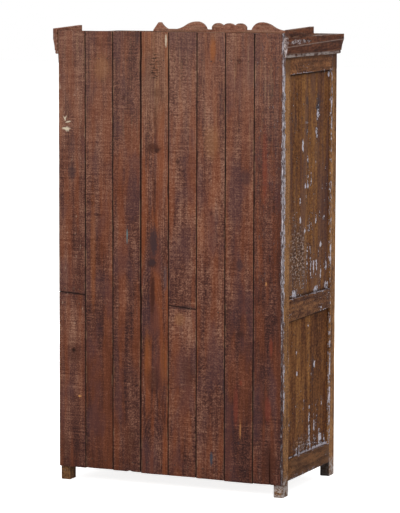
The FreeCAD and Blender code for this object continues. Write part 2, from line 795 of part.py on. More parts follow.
for level in ("upper", "lower"):
    for side in ("left", "right"):
        keep(f"{level}_{side}_door_frame", door_frame(side, level))
for side in ("left", "right"):
    keep(f"upper_{side}_glass", glass_pane(side))
    keep(f"upper_{side}_beads", glazing_beads(side))
    keep(f"lower_{side}_door_panel", raised_panel(side))

# Butt hinges: the fixed leaf has two knuckles, the moving leaf one between them, on a headed pin
PIN_X = f"({INNER} - leaf_thickness - leaf_play/2)"
PIN_Y = f"({FRONT} - knuckle_radius - knuckle_standoff)"
LEAF_DEPTH = (f"{PIN_Y} + (knuckle_radius + hinge_pin_radius)/2", f"{PIN_Y} + leaf_width")
fixed_leaves = []
pins = []


def hinge(side, middle):
    """One hinge; the fixed leaf and the pin join the case's, and the moving leaf is handed back."""
    spot = (across(side, PIN_X), PIN_Y)
    low = f"({middle} - hinge_height/2)"
    high = f"({middle} + hinge_height/2)"
    one = f"({middle} - hinge_height/6)"
    two = f"({middle} + hinge_height/6)"
    clear = "knuckle_radius + leaf_play"
    bore = rod("hinge_pin_radius + hinge_pin_play", spot, (low, high))
    fixed_plate = block(mirrored(side, (f"{INNER} - leaf_thickness", INNER)), LEAF_DEPTH, (low, high))
    fixed_plate = cut(fixed_plate, rod(clear, spot, (f"{one} - knuckle_play", f"{two} + knuckle_play")))
    knuckles = [rod("knuckle_radius", spot, span) for span in ((low, one), (two, high))]
    fixed = fuse(fixed_plate, *knuckles)
    fixed_leaves.append(cut(fixed, bore))
    edge = f"{INNER} - {HINGE_GAP}"
    moving_plate = block(mirrored(side, (edge, f"{edge} + leaf_thickness")), LEAF_DEPTH, (low, high))
    moving_plate = cut(
        moving_plate,
        rod(clear, spot, (low, f"{one} + knuckle_play")),
        rod(clear, spot, (f"{two} - knuckle_play", high)),
    )
    barrel = rod("knuckle_radius", spot, (f"{one} + knuckle_play", f"{two} - knuckle_play"))
    pins.append(
        fuse(
            rod("hinge_pin_radius", spot, (low, high)),
            rod("hinge_pin_head", spot, (high, f"{high} + hinge_pin_head_height")),
            rod("hinge_pin_head", spot, (f"{low} - hinge_pin_head_height", low)),
        )
    )
    return cut(fuse(moving_plate, barrel), bore)


for level in ("upper", "lower"):
    for side in ("left", "right"):
        low, high = door_height(level)
        leaves = [hinge(side, f"({low} + hinge_inset)"), hinge(side, f"({high} - hinge_inset)")]
        keep(f"{level}_{side}_hinge_leaves", group(*leaves))
keep("hinge_leaves_fixed", group(*fixed_leaves))
keep("hinge_pins", group(*pins))


# Turned knobs. On the left doors a spigot holds them; on the right doors a spindle goes through to a tongue.
def turned_knob(shank):
    body = doc.addObject("PartDesign::Body", "knob")
    corners = [
        ("0", "0"),
        ("spindle_radius", "0"),
        ("spindle_radius", shank),
        ("knob_flange_radius", shank),
        ("knob_flange_radius", f"{shank} + knob_flange"),
        ("knob_neck_radius", f"{shank} + knob_flange + knob_cove"),
        (
            "knob_neck_radius",
            f"{shank} + 0.36*knob_reach",
            ("knob_radius - knob_cheek", f"{shank} + 0.47*knob_reach"),
        ),
        (
            "knob_radius",
            f"{shank} + 0.64*knob_reach",
            ("0.76*knob_radius", f"{shank} + 0.88*knob_reach"),
        ),
        ("knob_tip_radius", f"{shank} + knob_reach"),
        ("0", f"{shank} + knob_reach"),
    ]
    sketch = profile(body, "XZ_Plane", corners)
    turned = body.newObject("PartDesign::Revolution", "turned")
    turned.Profile = sketch
    turned.ReferenceAxis = (sketch, ["V_Axis"])
    turned.Angle = 360
    sketch.Visibility = False
    body.Placement.Rotation = FreeCAD.Rotation(FreeCAD.Vector(1, 0, 0), 90)
    return body


TONGUE_FRONT = f"{DOOR_DEPTH[1]} + tongue_standoff"
TONGUE_DEPTH = (TONGUE_FRONT, f"{TONGUE_FRONT} + tongue_thickness")
for level in ("upper", "lower"):
    middle = knob_height(level)
    fixed_knob = turned_knob("knob_spigot")
    place(fixed_knob, f"-{STILE_MIDDLE}", f"{FRONT} + knob_spigot", middle)
    keep(f"{level}_left_knob", fixed_knob)
    shank = "(door_thickness + tongue_standoff + tongue_thickness + spindle_end)"
    latch_knob = turned_knob(shank)
    place(latch_knob, STILE_MIDDLE, f"{FRONT} + {shank}", middle)
    round_end = "tongue_width/2"
    tip = f"{middle} - tongue_length + tongue_width/2"
    bar = block(
        (f"{STILE_MIDDLE} - tongue_width/2", f"{STILE_MIDDLE} + tongue_width/2"), TONGUE_DEPTH, (tip, middle)
    )
    eye = rod(round_end, (STILE_MIDDLE, middle), TONGUE_DEPTH, axis="y")
    nose = rod(round_end, (STILE_MIDDLE, tip), TONGUE_DEPTH, axis="y")
    bore = rod("spindle_radius + spindle_play", (STILE_MIDDLE, middle), TONGUE_DEPTH, axis="y")
    keep(f"{level}_latch", group(latch_knob, cut(fuse(bar, eye, nose), bore)))

# Sliding bolts on the inside of the left doors, in two guides each
for level in ("upper", "lower"):
    top = door_height(level)[1]
    rod_top = f"({top} - bolt_below_edge)"
    rod_low = f"({rod_top} - bolt_length)"
    guides = []
    for number in (0, 1):
        guide_high = f"{top} - guide_from_top - {number}*guide_spacing"
        shoe = block(
            (f"{BOLT_X} - guide_width/2", f"{BOLT_X} + guide_width/2"),
            (DOOR_DEPTH[1], f"{DOOR_DEPTH[1]} + guide_depth"),
            (f"{guide_high} - guide_height", guide_high),
        )
        way = rod("bolt_radius + bolt_play", (BOLT_X, BOLT_Y), (f"{guide_high} - guide_height", guide_high))
        guides.append(cut(shoe, way))
    keep(f"{level}_bolt_guides", group(*guides))
    thumb_level = f"{top} - guide_from_top - guide_height/2 - guide_spacing/2"
    thumb_reach = (BOLT_Y, f"{BOLT_Y} + bolt_thumb_reach")
    thumb = rod("bolt_thumb_radius", (BOLT_X, thumb_level), thumb_reach, axis="y")
    keep(f"{level}_bolt", fuse(rod("bolt_radius", (BOLT_X, BOLT_Y), (rod_low, rod_top)), thumb))

# Check every object, then write one file for each sub-part
doc.recompute()
for thing in doc.Objects:
    if "Invalid" in thing.State or "Error" in thing.State:
        raise RuntimeError(f"{thing.Name} ({thing.Label}) is in state {thing.State}")
os.makedirs("parts", exist_ok=True)
for thing in pieces:
    shape = thing.Shape
    if shape.isNull() or not shape.isValid() or not shape.Solids:
        raise RuntimeError(f"{thing.Label} has no valid solid")
    shape.exportStep(f"parts/{thing.Label}.step")
    box = shape.BoundBox
    print(
        f"{thing.Label}: {len(shape.Solids)} solids, {shape.Volume / 1000:.1f} cm3, "
        f"x {box.XMin:.1f}..{box.XMax:.1f} y {box.YMin:.1f}..{box.YMax:.1f} z {box.ZMin:.1f}..{box.ZMax:.1f}"
    )
print(f"{len(pieces)} sub-parts")
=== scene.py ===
import math
import bmesh
import bpy
from mathutils import Matrix, Vector, noise


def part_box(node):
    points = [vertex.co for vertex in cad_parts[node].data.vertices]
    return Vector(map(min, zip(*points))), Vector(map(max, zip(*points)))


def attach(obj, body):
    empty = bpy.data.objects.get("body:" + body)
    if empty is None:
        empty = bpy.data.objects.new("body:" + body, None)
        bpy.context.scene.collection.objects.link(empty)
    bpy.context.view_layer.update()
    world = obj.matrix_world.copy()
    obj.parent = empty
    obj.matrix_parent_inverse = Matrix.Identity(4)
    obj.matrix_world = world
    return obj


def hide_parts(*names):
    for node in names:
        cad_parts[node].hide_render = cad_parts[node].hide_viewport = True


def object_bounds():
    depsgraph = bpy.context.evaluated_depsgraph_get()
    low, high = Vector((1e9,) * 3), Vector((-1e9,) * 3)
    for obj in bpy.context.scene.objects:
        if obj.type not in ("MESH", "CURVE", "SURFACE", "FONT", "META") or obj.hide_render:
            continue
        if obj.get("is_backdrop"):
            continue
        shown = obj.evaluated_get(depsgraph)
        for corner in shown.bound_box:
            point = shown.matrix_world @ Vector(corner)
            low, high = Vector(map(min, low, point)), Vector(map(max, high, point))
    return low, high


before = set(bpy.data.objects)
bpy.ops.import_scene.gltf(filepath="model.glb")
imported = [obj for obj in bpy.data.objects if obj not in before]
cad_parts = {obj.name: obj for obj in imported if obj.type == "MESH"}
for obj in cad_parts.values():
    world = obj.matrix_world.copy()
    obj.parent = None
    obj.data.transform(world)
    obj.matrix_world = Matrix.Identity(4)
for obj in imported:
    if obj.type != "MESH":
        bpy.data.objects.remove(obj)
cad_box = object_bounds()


# Posts: four square legs of stripped hardwood that run from the floor to the cornice. They were painted white
# once; the paint is scraped off and stays as flecks in the pores and along the arrises. The feet are scuffed.
class Finish:
    """A value, colour or place in a material's node tree; sums with it add the nodes."""

    def __init__(self, tree, socket):
        self.tree = tree
        self.socket = socket

    def node(self, kind, sockets=None, out=0, **settings):
        """Any node: its settings first, then the values or links of its sockets."""
        made = self.tree.nodes.new("ShaderNode" + kind)
        for key, value in settings.items():
            if key == "stops":
                stops = made.color_ramp.elements
                while len(stops) < len(value):
                    stops.new(0.5)
                for stop, (position, colour) in zip(stops, value):
                    stop.position = position
                    stop.color = colour
            else:
                setattr(made, key, value)
        for key, value in (sockets or {}).items():
            if isinstance(value, Finish):
                self.tree.links.new(value.socket, made.inputs[key])
            else:
                made.inputs[key].default_value = value
        return Finish(self.tree, made.outputs[out])

    def sum(self, operation, *values):
        return self.node("Math", dict(enumerate(values)), operation=operation)

    def __add__(self, other):
        return self.sum("ADD", self, other)

    def __sub__(self, other):
        return self.sum("SUBTRACT", self, other)

    def __rsub__(self, other):
        return self.sum("SUBTRACT", other, self)

    def __mul__(self, other):
        return self.sum("MULTIPLY", self, other)

    __radd__ = __add__

    def smooth(self, low, high):
        """0 below low and 1 above high; the other way round where low is the larger."""
        return self.node("MapRange", {0: self, 1: low, 2: high}, interpolation_type="SMOOTHSTEP")

    def over(self, base, colour):
        """colour laid over base, as thick as this mask."""
        return self.node("Mix", {0: self, 6: base, 7: colour}, out=2, data_type="RGBA")

    def ramp(self, *stops):
        return self.node("ValToRGB", {0: self}, stops=stops)

    def parts(self):
        return [self.node("SeparateXYZ", {0: self}, out=axis) for axis in range(3)]

    def noise(self, stretch, detail=4, rough=0.55, seed=0):
        """Noise at this place, with so many features in a metre along each axis."""
        shift = (3.7 * seed, 1.9 * seed + 0.3, 5.3 * seed)
        spot = self.node("VectorMath", {0: self, 1: stretch, 2: shift}, operation="MULTIPLY_ADD")
        return spot.node("TexNoise", {"Vector": spot, "Scale": 1, "Detail": detail, "Roughness": rough})

    def patch(self, centre, reach, ragged=None, turn=0):
        """1 in the middle of an oval, turned about y, and 0 outside; a zero in reach leaves that axis out."""
        shrink = [1 / size if size else 0 for size in reach]
        away = self.node("VectorMath", {0: self, 1: centre}, operation="SUBTRACT")
        if turn:
            angle = math.radians(turn)
            away = away.node("VectorRotate", {"Vector": away, "Angle": angle}, rotation_type="Y_AXIS")
        away = away.node("VectorMath", {0: away, 1: shrink}, operation="MULTIPLY")
        away = away.node("VectorMath", {0: away}, out=1, operation="LENGTH")
        if ragged:
            away = away + ragged
        return away.smooth(1.05, 0.35)


def tone(red, green, blue):
    """A colour as it is read off a screen, for a socket."""
    levels = [level / 255 for level in (red, green, blue)]
    return (*[v / 12.92 if v <= 0.04045 else ((v + 0.055) / 1.055) ** 2.4 for v in levels], 1)


def new_finish(name):
    material = bpy.data.materials.new(name)
    material.use_nodes = True
    tree = material.node_tree
    return material, Finish(tree, tree.nodes.new("ShaderNodeTexCoord").outputs["Object"])


def lay_on(material, colour, rough, height, relief, specular=0.04):
    """Joins colour, roughness and surface relief (in metres) to the material's shader."""
    shader = material.node_tree.nodes["Principled BSDF"]
    shader.inputs["Specular IOR Level"].default_value = specular
    bump = colour.node("Bump", {"Strength": 1, "Distance": relief, "Height": height})
    for value, socket in ((colour, "Base Color"), (rough, "Roughness"), (bump, "Normal")):
        material.node_tree.links.new(value.socket, shader.inputs[socket])


def along_grain(axis, across, length):
    stretch = [across] * 3
    stretch[axis] = length
    return stretch


PAINT = tone(218, 212, 222)
UPRIGHT, ACROSS, DEEP = 2, 0, 1


def stripped_wood(name, axis, pale, middle, dark, seed, residue=0, streaky=0.7, scuff=0.5, kept=()):
    """Old wood with its paint scraped off, the grain along one axis.

    residue leaves more paint on it, or less; kept are ovals that hold more: centre, reach and how much.
    """
    material, place = new_finish(name)
    broad = place.noise(along_grain(axis, 13, 1.7), 3, 0.5, seed)
    streak = place.noise(along_grain(axis, 55, 2.6), 5, 0.65, seed + 1)
    fibre = place.noise(along_grain(axis, 480, 16), 3, 0.6, seed + 2)
    mottle = place.noise(along_grain(axis, 44, 17), 4, 0.62, seed + 8)
    speck = place.noise((150, 150, 150), 3, 0.6, seed + 7)
    figure = broad * 0.5 + streak * streaky + mottle * 0.6 + fibre * 0.2 + speck - (0.65 + streaky * 0.5)
    # painted sheen: pieces with the grain along the depth are lighter toward the back
    if axis == DEEP:
        figure = figure + place.parts()[1] * 0.3
    colour = figure.ramp((0.28, dark), (0.5, middle), (0.74, pale))
    pores = fibre.smooth(0.4, 0.3)
    colour = (pores * 0.35).over(colour, dark)
    arris = place.node("Attribute", out=2, attribute_name="arris")
    rubbed = arris.smooth(0.4, 1) * place.noise(along_grain(axis, 40, 12), 3, 0.6, seed + 5).smooth(0.4, 0.6)
    colour = (rubbed * 0.4).over(colour, pale)
    flecks = place.noise(along_grain(axis, 95, 40), 7, 0.76, seed + 3)
    patches = place.noise(along_grain(axis, 9, 4), 2, 0.5, seed + 4)
    facing = place.node("NewGeometry", out=1).parts()
    ledge = facing[2].smooth(0.6, 0.95)
    held = flecks * 0.85 + patches * 0.4 + arris * 0.07 + ledge * 0.1 + residue
    broken = place.noise(along_grain(axis, 260, 40), 5, 0.74, seed + 9).smooth(0.4, 0.64)
    for centre, reach, more in kept:
        held = held + place.patch(centre, reach) * broken * more
    held = held + place.noise((120, 120, 150), 3, 0.65, seed + 10) * 0.3 - 0.15
    dirt = held.smooth(0.70, 0.77)
    colour = (dirt * 0.6).over(colour, tone(52, 34, 27))
    paint = held.smooth(0.78, 0.84)
    colour = (paint * 0.9).over(colour, PAINT)
    y, level = place.parts()[1:]
    colour = (level.smooth(0.085, 0.05) * 0.4).over(colour, tone(58, 44, 38))
    if axis == UPRIGHT:
        colour = (level.smooth(1.665, 1.735) * 0.7).over(colour, tone(76, 48, 39))
    grazed = place.noise((75, 75, 85), 5, 0.74, seed + 6).smooth(0.69 - scuff * 0.25, 0.77 - scuff * 0.25)
    scuffed = level.smooth(0.095, 0.05) * grazed
    colour = (scuffed * 0.8).over(colour, tone(190, 179, 174))
    # painted shade: the back faces of the front feet, turned in under the cabinet, are darkened
    painted_shade_on_front_feet = y.smooth(0, -0.1) * facing[1].smooth(0.5, 0.9) * level.smooth(0.075, 0.055)
    colour = (painted_shade_on_front_feet * 0.85).over(colour, tone(38, 31, 29))
    dusty = ledge * level.smooth(1.8, 1.84)
    colour = (dusty * 0.85).over(colour, tone(78, 60, 52))
    # painted shadow of the cornice's overhang: everything from just below its foot up is darkened by half
    painted_cornice_shadow = level.smooth(1.758, 1.770)
    colour = (painted_cornice_shadow * 0.5).over(colour, tone(48, 33, 27))
    rough = 0.58 + fibre * 0.2 + paint * 0.1
    lay_on(material, colour, rough, streak * 0.5 + fibre * 0.4 + paint * 0.5, 0.0011)
    return material


def new_shape():
    shape = bmesh.new()
    shape.verts.layers.float.new("arris")
    return shape


def skin(shape, rings, finish=0):
    """Faces over rings of corners, anticlockwise as seen from the last ring, and over both ends."""
    faces = [shape.faces.new(rings[0][::-1]), shape.faces.new(rings[-1])]
    for lower, upper in zip(rings, rings[1:]):
        for j in range(len(lower)):
            nxt = (j + 1) % len(lower)
            faces.append(shape.faces.new((lower[j], lower[nxt], upper[nxt], upper[j])))
    for face in faces:
        face.material_index = finish
        face.smooth = True


SHARP_TURN = 0.3
ARC_PARTS = 3
EDGE_MARGIN = 0.009
FACE_STEP = 0.03
CRACK_FADE = 0.08
CRACK_PROFILE = ((-1, 0), (-0.4, 0.7), (0, 1), (0.4, 0.7), (1, 0))
ON_ARRIS, ON_END, IN_HOLLOW = 1, 0.5, -1


def lay_timber(
    shape, outline, axis, start, end, arris=0.0016, seed=0, finish=0, wander=0.0004, step=0.045, splits=()
):
    """One length of wood: an outline across the grain, run along an axis, with unevenly worn arrises.

    outline goes round anticlockwise; start and end are heights along the axis, or functions of a point of the
    outline. splits are drying cracks in the outline's third edge: place, width, top and depth.
    """
    worn = shape.verts.layers.float["arris"]
    first, second = (axis + 1) % 3, (axis + 2) % 3
    corners = [Vector(corner) for corner in outline]
    count = len(corners)
    low = Vector([min(corner[i] for corner in corners) for i in range(2)])
    high = Vector([max(corner[i] for corner in corners) for i in range(2)])
    middle = (low + high) / 2
    half = (high - low) / 2
    ends = [limit if callable(limit) else (lambda a, b, limit=limit: limit) for limit in (start, end)]
    base = ends[0](*middle)
    length = ends[1](*middle) - base

    def waver(*key):
        return noise.noise(Vector([part + 0.37 * seed for part in key]))

    def ring(position, shrink):
        moved = []
        for k, corner in enumerate(corners):
            drift = [wander * (0.5 + 0.5 * waver(position * 4, 3.1 * k, 7.7 * i)) for i in range(2)]
            inward = [drift[i] * (1 if corner[i] < middle[i] else -1) for i in range(2)]
            moved.append(corner + Vector(inward))
        points = []
        for k, corner in enumerate(moved):
            into = corner - moved[k - 1]
            out = moved[(k + 1) % count] - corner
            room = 0.28 * min(into.length, out.length)
            reach = out.length
            into.normalize()
            out.normalize()
            turn = math.atan2(into.cross(out), into.dot(out))
            if turn > SHARP_TURN:
                dent = max(0, waver(position * 9, 2.3 * k, 31) - 0.25)
                radius = min(arris * (1 + 0.5 * waver(position * 14, 5.1 * k, 13) + 4 * dent), room)
                side = Vector((-into.y, into.x))
                centre = corner - into * radius * math.tan(turn / 2) + side * radius
                for part in range(ARC_PARTS + 1):
                    spoke = Matrix.Rotation(turn * part / ARC_PARTS, 2) @ side * radius
                    points.append((centre - spoke, ON_ARRIS))
            else:
                points.append((corner, IN_HOLLOW if turn < -SHARP_TURN else 0))
            gap = min(EDGE_MARGIN, 0.3 * reach)
            edge = corners[(k + 1) % count] - corners[k]
            pieces = max(1, round((edge.length - 2 * EDGE_MARGIN) / FACE_STEP))
            stops = [(gap + (reach - 2 * gap) * i / pieces, 0) for i in range(pieces + 1)]
            if k == 2:
                for spot, width, top, depth in splits:
                    open_by = max(0, min(1, (top - position) / CRACK_FADE))
                    spot += 0.002 * waver(position * 11, 91, spot * 50)
                    for sidestep, sunk in CRACK_PROFILE:
                        stops.append((spot + sidestep * (0.0004 + width * open_by), sunk * depth * open_by))
                stops.sort()
            inside = Vector((-out.y, out.x))
            for along, sunk in stops:
                point = corner + out * along
                hollow = wander * (0.4 + 0.4 * waver(point.x * 19, point.y * 19, position * 5))
                points.append((point + inside * (hollow + sunk), 0))
        if not shrink:
            return points
        scale = [1 - shrink / size for size in half]
        drawn_in = []
        for point, mark in points:
            offset = [(point[i] - middle[i]) * scale[i] for i in range(2)]
            drawn_in.append((middle + Vector(offset), ON_END))
        return drawn_in

    steps = max(2, round(length / step))
    lip = min(arris, length * 0.2) / length
    stations = [(0, 0.7 * arris), (lip, 0)]
    stations += [(i / steps, 0) for i in range(1, steps)]
    stations += [(1 - lip, 0), (1, 0.7 * arris)]
    rings = []
    for share, shrink in stations:
        row = []
        for point, mark in ring(base + length * share, shrink):
            foot, head = ends[0](*point), ends[1](*point)
            spot = Vector((0, 0, 0))
            spot[first], spot[second], spot[axis] = point.x, point.y, foot + (head - foot) * share
            vert = shape.verts.new(spot)
            vert[worn] = mark
            row.append(vert)
        rings.append(row)
    skin(shape, rings, finish)


def oblong(first, second):
    """An outline with square corners, from two spans."""
    return [(first[0], second[0]), (first[1], second[0]), (first[1], second[1]), (first[0], second[1])]


def stretch_of(node, axis):
    """Where a CAD node starts and ends along an axis."""
    low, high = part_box(node)
    return low[axis], high[axis]


CREASE = math.radians(48)


def fit(shape, name, finishes, body, node):
    """Makes the shape a piece of the cabinet in place of a CAD node."""
    mesh = bpy.data.meshes.new(name)
    shape.to_mesh(mesh)
    shape.free()
    mesh.set_sharp_from_angle(angle=CREASE)
    for finish in finishes:
        mesh.materials.append(finish)
    piece = bpy.data.objects.new(name, mesh)
    bpy.context.scene.collection.objects.link(piece)
    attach(piece, body)
    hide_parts(node)
    return piece


SIDES = {"left": -1, "right": 1}
POST_ARRIS = 0.0026
OCHRES = tone(182, 135, 88), tone(145, 102, 65), tone(82, 52, 34)
POST_SCUFFS = {"front_left": 1.0, "front_right": 0.5, "back_left": 0.95, "back_right": 0.3}
POST_PAINT = {
    "front": (((0, -0.2285, 0.9), (0, 0.008, 0), 0.17), ((0, -0.262, 0.9), (0, 0.02, 0), 0.05)),
    "back": (
        ((0, 0.286, 0.39), (0, 0.016, 0.08), 0.22),
        ((0, 0.287, 1.15), (0, 0.012, 0.62), 0.22),
        ((0, 0.285, 0.45), (0, 0.014, 0.45), 0.1),
    ),
}
for depth, kept in POST_PAINT.items():
    for side in SIDES:
        node = f"{depth}_{side}_post"
        scuff = POST_SCUFFS[f"{depth}_{side}"]
        post_wood = stripped_wood(f"{node}_wood", UPRIGHT, *OCHRES, seed=len(node), scuff=scuff, kept=kept)
        shape = new_shape()
        section = oblong(stretch_of(node, ACROSS), stretch_of(node, DEEP))
        seed = len(node) + SIDES[side]
        lay_timber(shape, section, UPRIGHT, *stretch_of(node, UPRIGHT), POST_ARRIS, seed, wander=0.0007)
        fit(shape, f"{node}_wood", [post_wood], "case", node)


# Side rails: top, middle and bottom rail of each side, of the same stripped wood with the grain lying along
# the depth. Their tenons are out of sight in the posts. Their edges close up a little toward the front, and
# more paint has stayed in some patches.
POST_BACK, POST_FRONT = stretch_of("front_left_post", DEEP)[1], stretch_of("back_left_post", DEEP)[0]
SIDE_RAIL_ARRIS = 0.0022
RAIL_TAPERS = ((0, 0.0055), (0.0065, 0.0045), (0.0055, 0))
RAIL_PAINT = (
    ((0, -0.190, 0.775), (0, 0.030, 0.025), 0.16),
    ((0, -0.110, 0.735), (0, 0.030, 0.020), 0.16),
    ((0, 0.070, 0.772), (0, 0.020, 0.030), 0.15),
    ((0, 0.190, 0.770), (0, 0.050, 0.040), 0.13),
    ((0, 0.220, 0.735), (0, 0.020, 0.020), 0.18),
    ((0, 0.000, 1.706), (0, 0.260, 0.006), 0.16),
    ((0, -0.210, 1.706), (0, 0.030, 0.016), 0.22),
    ((0, 0.060, 0.070), (0, 0.220, 0.020), 0.2),
)
RAIL_TONES = {
    "bottom": (tone(126, 86, 54), tone(84, 54, 34), tone(46, 29, 21)),
    "middle": (tone(150, 104, 68), tone(100, 65, 44), tone(54, 28, 22)),
    "top": (tone(168, 116, 76), tone(122, 80, 53), tone(72, 44, 32)),
}
RAIL_LEVELS = [stretch_of(f"front_{rail}_rail", UPRIGHT) for rail in RAIL_TONES]
side_rail_woods = [
    stripped_wood(f"stripped_{rail}_side_rail", DEEP, *tones, seed, streaky=0.8, scuff=0.3, kept=RAIL_PAINT)
    for seed, (rail, tones) in enumerate(RAIL_TONES.items(), 7)
]
for side, sign in SIDES.items():
    shape = new_shape()
    faces = stretch_of(f"{side}_side_rails", ACROSS)
    for number, level in enumerate(RAIL_LEVELS):
        section, seed = oblong(level, faces), 20 + number + 5 * sign
        lay_timber(shape, section, DEEP, POST_BACK, POST_FRONT, SIDE_RAIL_ARRIS, seed, number, wander=0.0006)
    for corner in shape.verts:
        number = sum(corner.co.z > high + 0.1 for low, high in RAIL_LEVELS)
        (low, high), (rise, drop) = RAIL_LEVELS[number], RAIL_TAPERS[number]
        share = (corner.co.z - low) / (high - low)
        forward = (POST_FRONT - corner.co.y) / (POST_FRONT - POST_BACK)
        corner.co.z += forward * (rise * (1 - share) - drop * share)
    fit(shape, f"{side}_side_rails_wood", side_rail_woods, "case", f"{side}_side_rails")


# Side panels: two thin boards side by side in the grooves of each bay. Here the most old paint is left: in a
# line round the frame, in flecks down the grain, and thick in a few places that the scraper missed.
def panel_wood(name, bay_number, seam, held_spots, slate_spots, crazed, ledge, rear_pale, shade, seed):
    """The panels' wood in one bay, counted from below.

    held_spots are ovals in y and z that kept more paint, slate_spots grey ones and crazed one that crackled;
    ledge is how much paint lies along the rail below, and how dark the painted shade is in the corner over
    it.
    """
    material, place = new_finish(name)
    x, y, z = place.parts()
    rear = y.smooth(seam - 0.0005, seam + 0.0005)
    broad = place.noise((11, 11, 1.5), 3, 0.5, seed) + rear * rear_pale - shade
    streak = place.noise((44, 44, 2.4), 5, 0.66, seed + 1)
    mottle = place.noise((42, 42, 16), 4, 0.62, seed + 7)
    fibre = place.noise((400, 400, 15), 3, 0.6, seed + 2)
    speck = place.noise((75, 75, 125), 3, 0.6, seed + 6)
    figure = broad * 0.85 + streak * 0.7 + mottle * 0.55 + fibre * 0.2 + speck * 0.9 - 1.1
    colour = figure.ramp(
        (0.2, tone(52, 26, 14)),
        (0.44, tone(100, 60, 32)),
        (0.6, tone(127, 83, 45)),
        (0.84, tone(162, 113, 64)),
    )
    grime = place.noise((34, 34, 4), 4, 0.62, seed + 3).smooth(0.52, 0.68)
    colour = (grime * 0.55).over(colour, tone(72, 37, 25))
    plum = place.noise((24, 24, 2.4), 3, 0.55, seed + 9).smooth(0.36, 0.66)
    colour = (plum * z.smooth(0.70, 0.82) * 0.6).over(colour, tone(94, 68, 64))
    forward = (POST_FRONT - y) * (1 / (POST_FRONT - POST_BACK))
    drop, rise = RAIL_TAPERS[bay_number][1], RAIL_TAPERS[bay_number + 1][0]
    low, high = RAIL_LEVELS[bay_number][1], RAIL_LEVELS[bay_number + 1][0]
    fore_edge = y.smooth(POST_BACK + 0.013, POST_BACK + 0.004)
    back_edge = y.smooth(POST_FRONT - 0.014, POST_FRONT - 0.002)
    low_edge = (z + forward * drop).smooth(low + 0.014, low + 0.003)
    painted_shadow_under_rail = (z - forward * rise).smooth(high - 0.012, high - 0.003)
    seam_line = place.patch((0, seam, 0), (0, 0.009, 0))
    ledge_paint, ledge_shade = ledge
    held = fore_edge * 0.05 + back_edge * 0.04 + low_edge * ledge_paint + seam_line * 0.07
    torn = place.noise((60, 60, 70), 4, 0.68, seed + 11) * 2.4 - 1.2

    def spot(y_spot, z_spot, y_reach, z_reach, more, ragged=None):
        return place.patch((0, y_spot, z_spot), (0, y_reach, z_reach), ragged) * more

    for held_spot in held_spots:
        held = held + spot(*held_spot, torn)
    flecks = place.noise((62, 62, 13), 6, 0.7, seed + 4)
    patches = place.noise((16, 16, 4), 2, 0.5, seed + 5)
    specks = place.noise((58, 58, 125), 3, 0.65, seed + 10)
    scraped = z.smooth(1.35, 1.6) * 0.05 + z.smooth(0.33, 0.42) * z.smooth(0.80, 0.70) * 0.06
    held = flecks * 1.3 + patches * 0.3 + specks * 0.7 + held - scraped - 0.61
    outside = x.sum("ABSOLUTE", x).smooth(0.482, 0.486)
    dirt = held.smooth(0.62, 0.74) * outside
    colour = (dirt * 0.75).over(colour, tone(48, 37, 38))
    # painted shade in the corner where the panel meets the ledge of the rail below
    colour = (low_edge * ledge_shade).over(colour, tone(48, 36, 33))
    for slate_spot in slate_spots:
        colour = (spot(*slate_spot, torn) * outside).over(colour, tone(58, 52, 58))
    paint = held.smooth(0.77, 0.82) * outside
    colour = (paint * 0.92).over(colour, PAINT)
    crackle = place.noise((52, 52, 118), 3, 0.7, seed + 8)
    crackled = spot(*crazed) * outside
    colour = (crackled * 0.35).over(colour, tone(66, 48, 42))
    colour = (crackle.smooth(0.48, 0.38) * crackled).over(colour, tone(36, 26, 24))
    colour = (crackle.smooth(0.54, 0.62) * crackled * 0.9).over(colour, tone(186, 172, 166))
    # painted shadow along the top of the panel, under the rail above
    colour = (painted_shadow_under_rail * 0.85).over(colour, tone(30, 22, 18))
    rough = 0.6 + fibre * 0.2 + paint * 0.1
    lay_on(material, colour, rough, streak * 0.5 + fibre * 0.4 + paint * 0.6, 0.0011)
    return material


